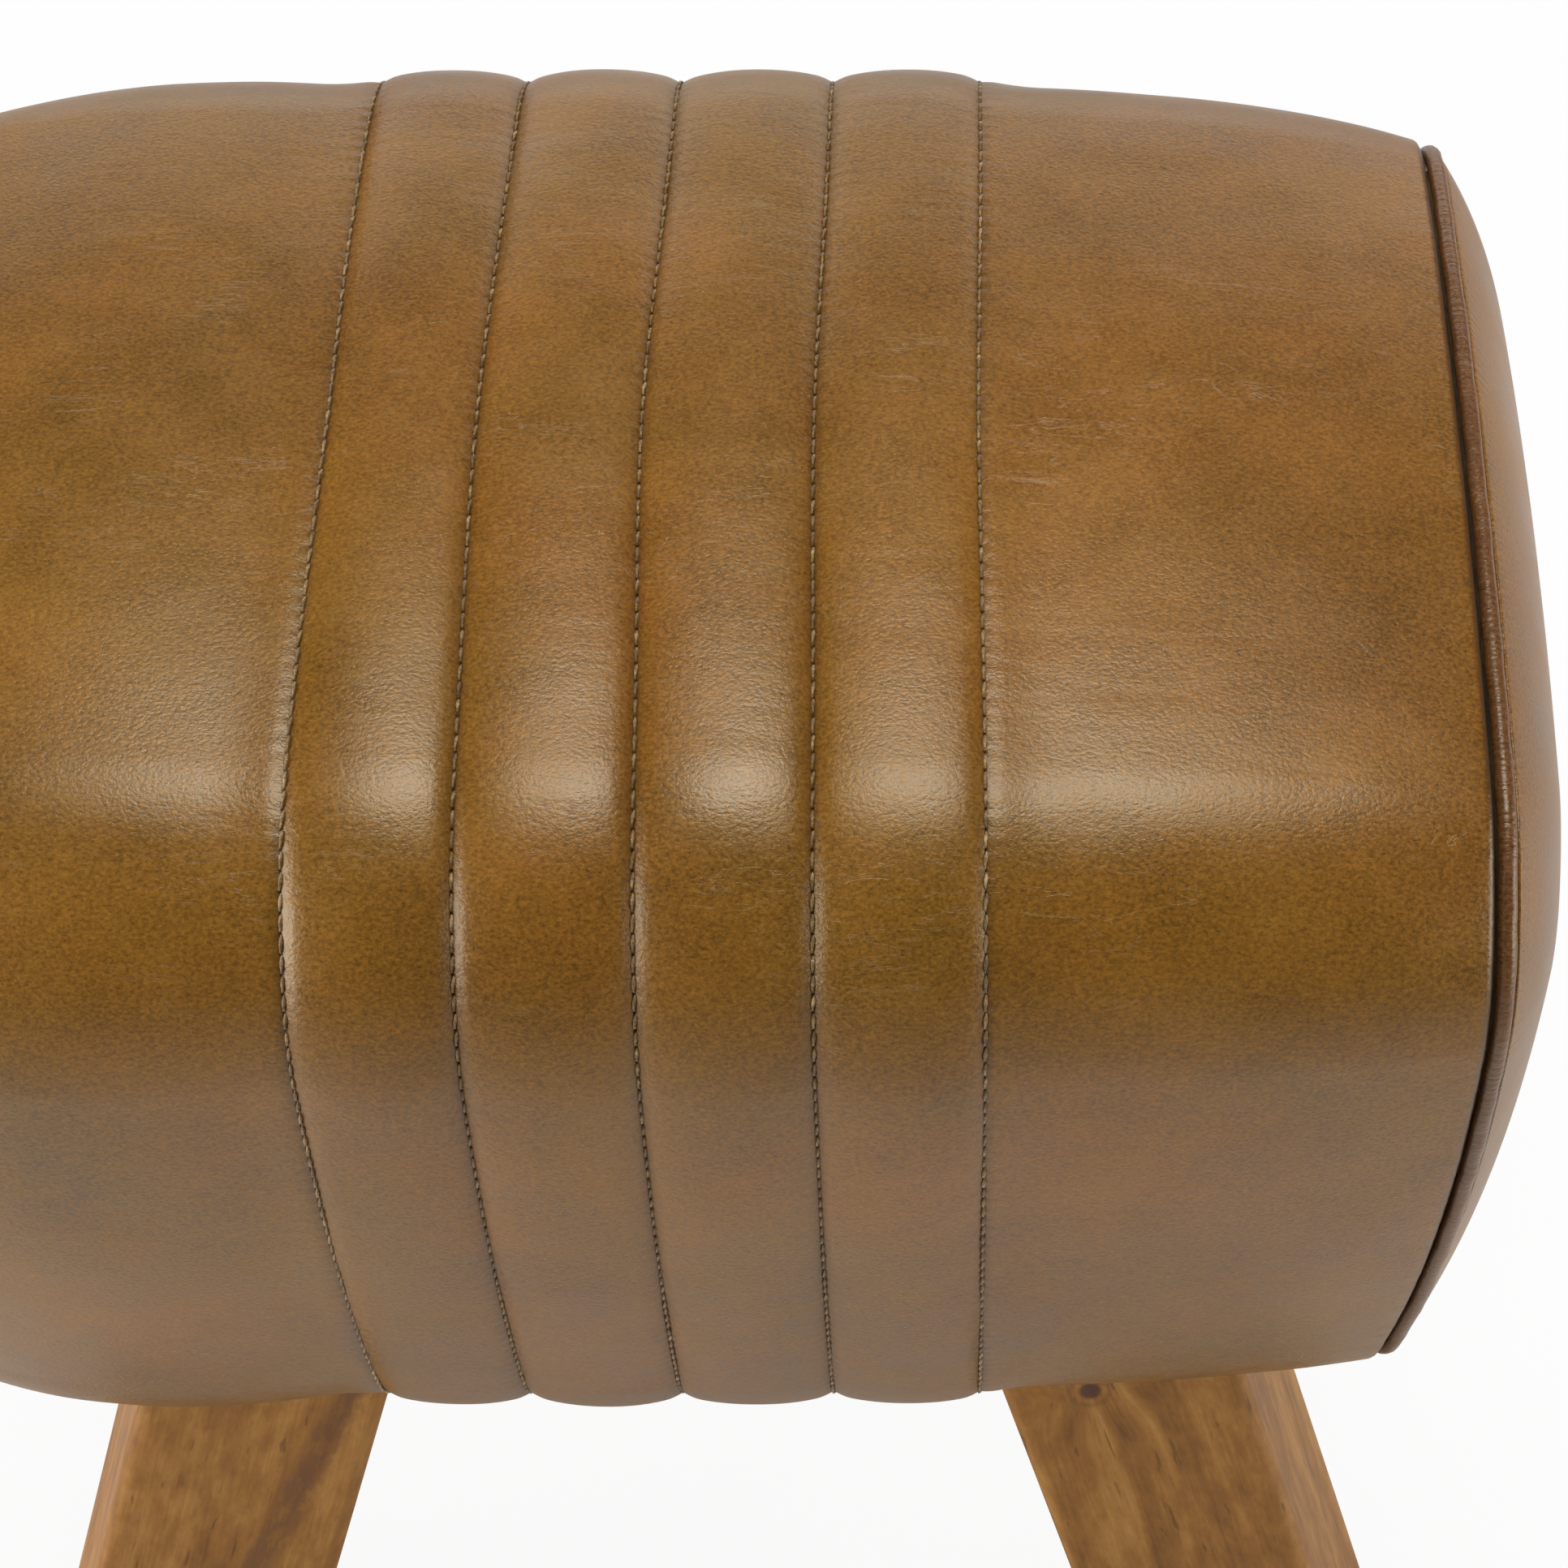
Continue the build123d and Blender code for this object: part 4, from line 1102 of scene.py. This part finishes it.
def floor_material():
    """Pale floor, near white to the camera and paler in reflections, that keeps the object's shadow."""
    nodes = Nodes("floor")
    paint = nodes.add("ShaderNodeBsdfDiffuse", {"Color": (0.88, 0.88, 0.88)})
    glow = nodes.add("ShaderNodeEmission", {"Strength": 1.0})
    path = nodes.add("ShaderNodeLightPath").outputs
    mirrored = nodes.math("MAXIMUM", path["Is Glossy Ray"], path["Is Transmission Ray"])
    share = nodes.math("MULTIPLY", mirrored, mirrored_white_share)
    share = nodes.math("MULTIPLY_ADD", path["Is Camera Ray"], floor_white_share, share)
    both = nodes.add("ShaderNodeMixShader", {0: share, 1: paint.outputs[0], 2: glow.outputs[0]})
    nodes.add("ShaderNodeOutputMaterial", {"Surface": both.outputs[0]})
    return nodes.material


def lamp(name, place, target, size, watts):
    """Soft rectangular lamp that points at a target."""
    data = bpy.data.lights.new(name, "AREA")
    data.shape = "RECTANGLE"
    data.size, data.size_y = size
    data.energy = watts
    light = bpy.data.objects.new(name, data)
    light.location = place
    light.visible_camera = False
    aim = Vector(target) - Vector(place)
    light.rotation_euler = aim.to_track_quat("-Z", "Y").to_euler() if aim.xy.length > 0 else (0, 0, 0)
    bpy.context.scene.collection.objects.link(light)


def make_stage():
    """Pale floor, a soft lamp overhead, one on the left and weaker ones on the right and behind."""
    bpy.ops.mesh.primitive_plane_add(size=floor_size)
    floor = bpy.context.object
    floor.name = "floor"
    floor.data.materials.append(floor_material())
    world = bpy.data.worlds.new("room")
    world.use_nodes = True
    tree = world.node_tree
    path = tree.nodes.new("ShaderNodeLightPath").outputs
    shade = tree.nodes.new("ShaderNodeMapRange")
    shade.inputs["To Min"].default_value = room_grey
    shade.inputs["To Max"].default_value = 1.0
    tree.links.new(path["Is Camera Ray"], shade.inputs["Value"])
    tree.links.new(shade.outputs[0], tree.nodes["Background"].inputs["Color"])
    bpy.context.scene.world = world
    for name, settings in lamps.items():
        lamp(name, *settings)


def make_camera():
    """Camera at the photograph's viewing angle."""
    data = bpy.data.cameras.new("camera")
    data.sensor_width = sensor_width
    data.lens = camera_focal_pixels / photo_pixels * sensor_width
    data.shift_x = (photo_pixels / 2 - camera_axis_pixel) / photo_pixels
    camera = bpy.data.objects.new("camera", data)
    camera.location = camera_place
    camera.rotation_euler = Euler((math.radians(90 - camera_pitch), 0, 0))
    bpy.context.scene.collection.objects.link(camera)
    bpy.context.scene.camera = camera


band = Section(row_step, False)
shell = Section(row_step, True)
ends_section = Section(ring_step, True)
inner = Section(inner_step, False)

dress_cad_nodes()
for number in range(rib_count):
    make_rib(number)
    make_wadding(number)
for number in range(rib_count + 1):
    make_stitches(number)
for end_label, end_side in ends.items():
    make_plain_panel(end_label, end_side)
    make_piping(end_label, end_side)
    make_end(end_label, end_side)
make_backing()
make_seat_foam()
make_underside()
make_stage()
make_camera()
bpy.context.scene.view_settings.view_transform = "Standard"
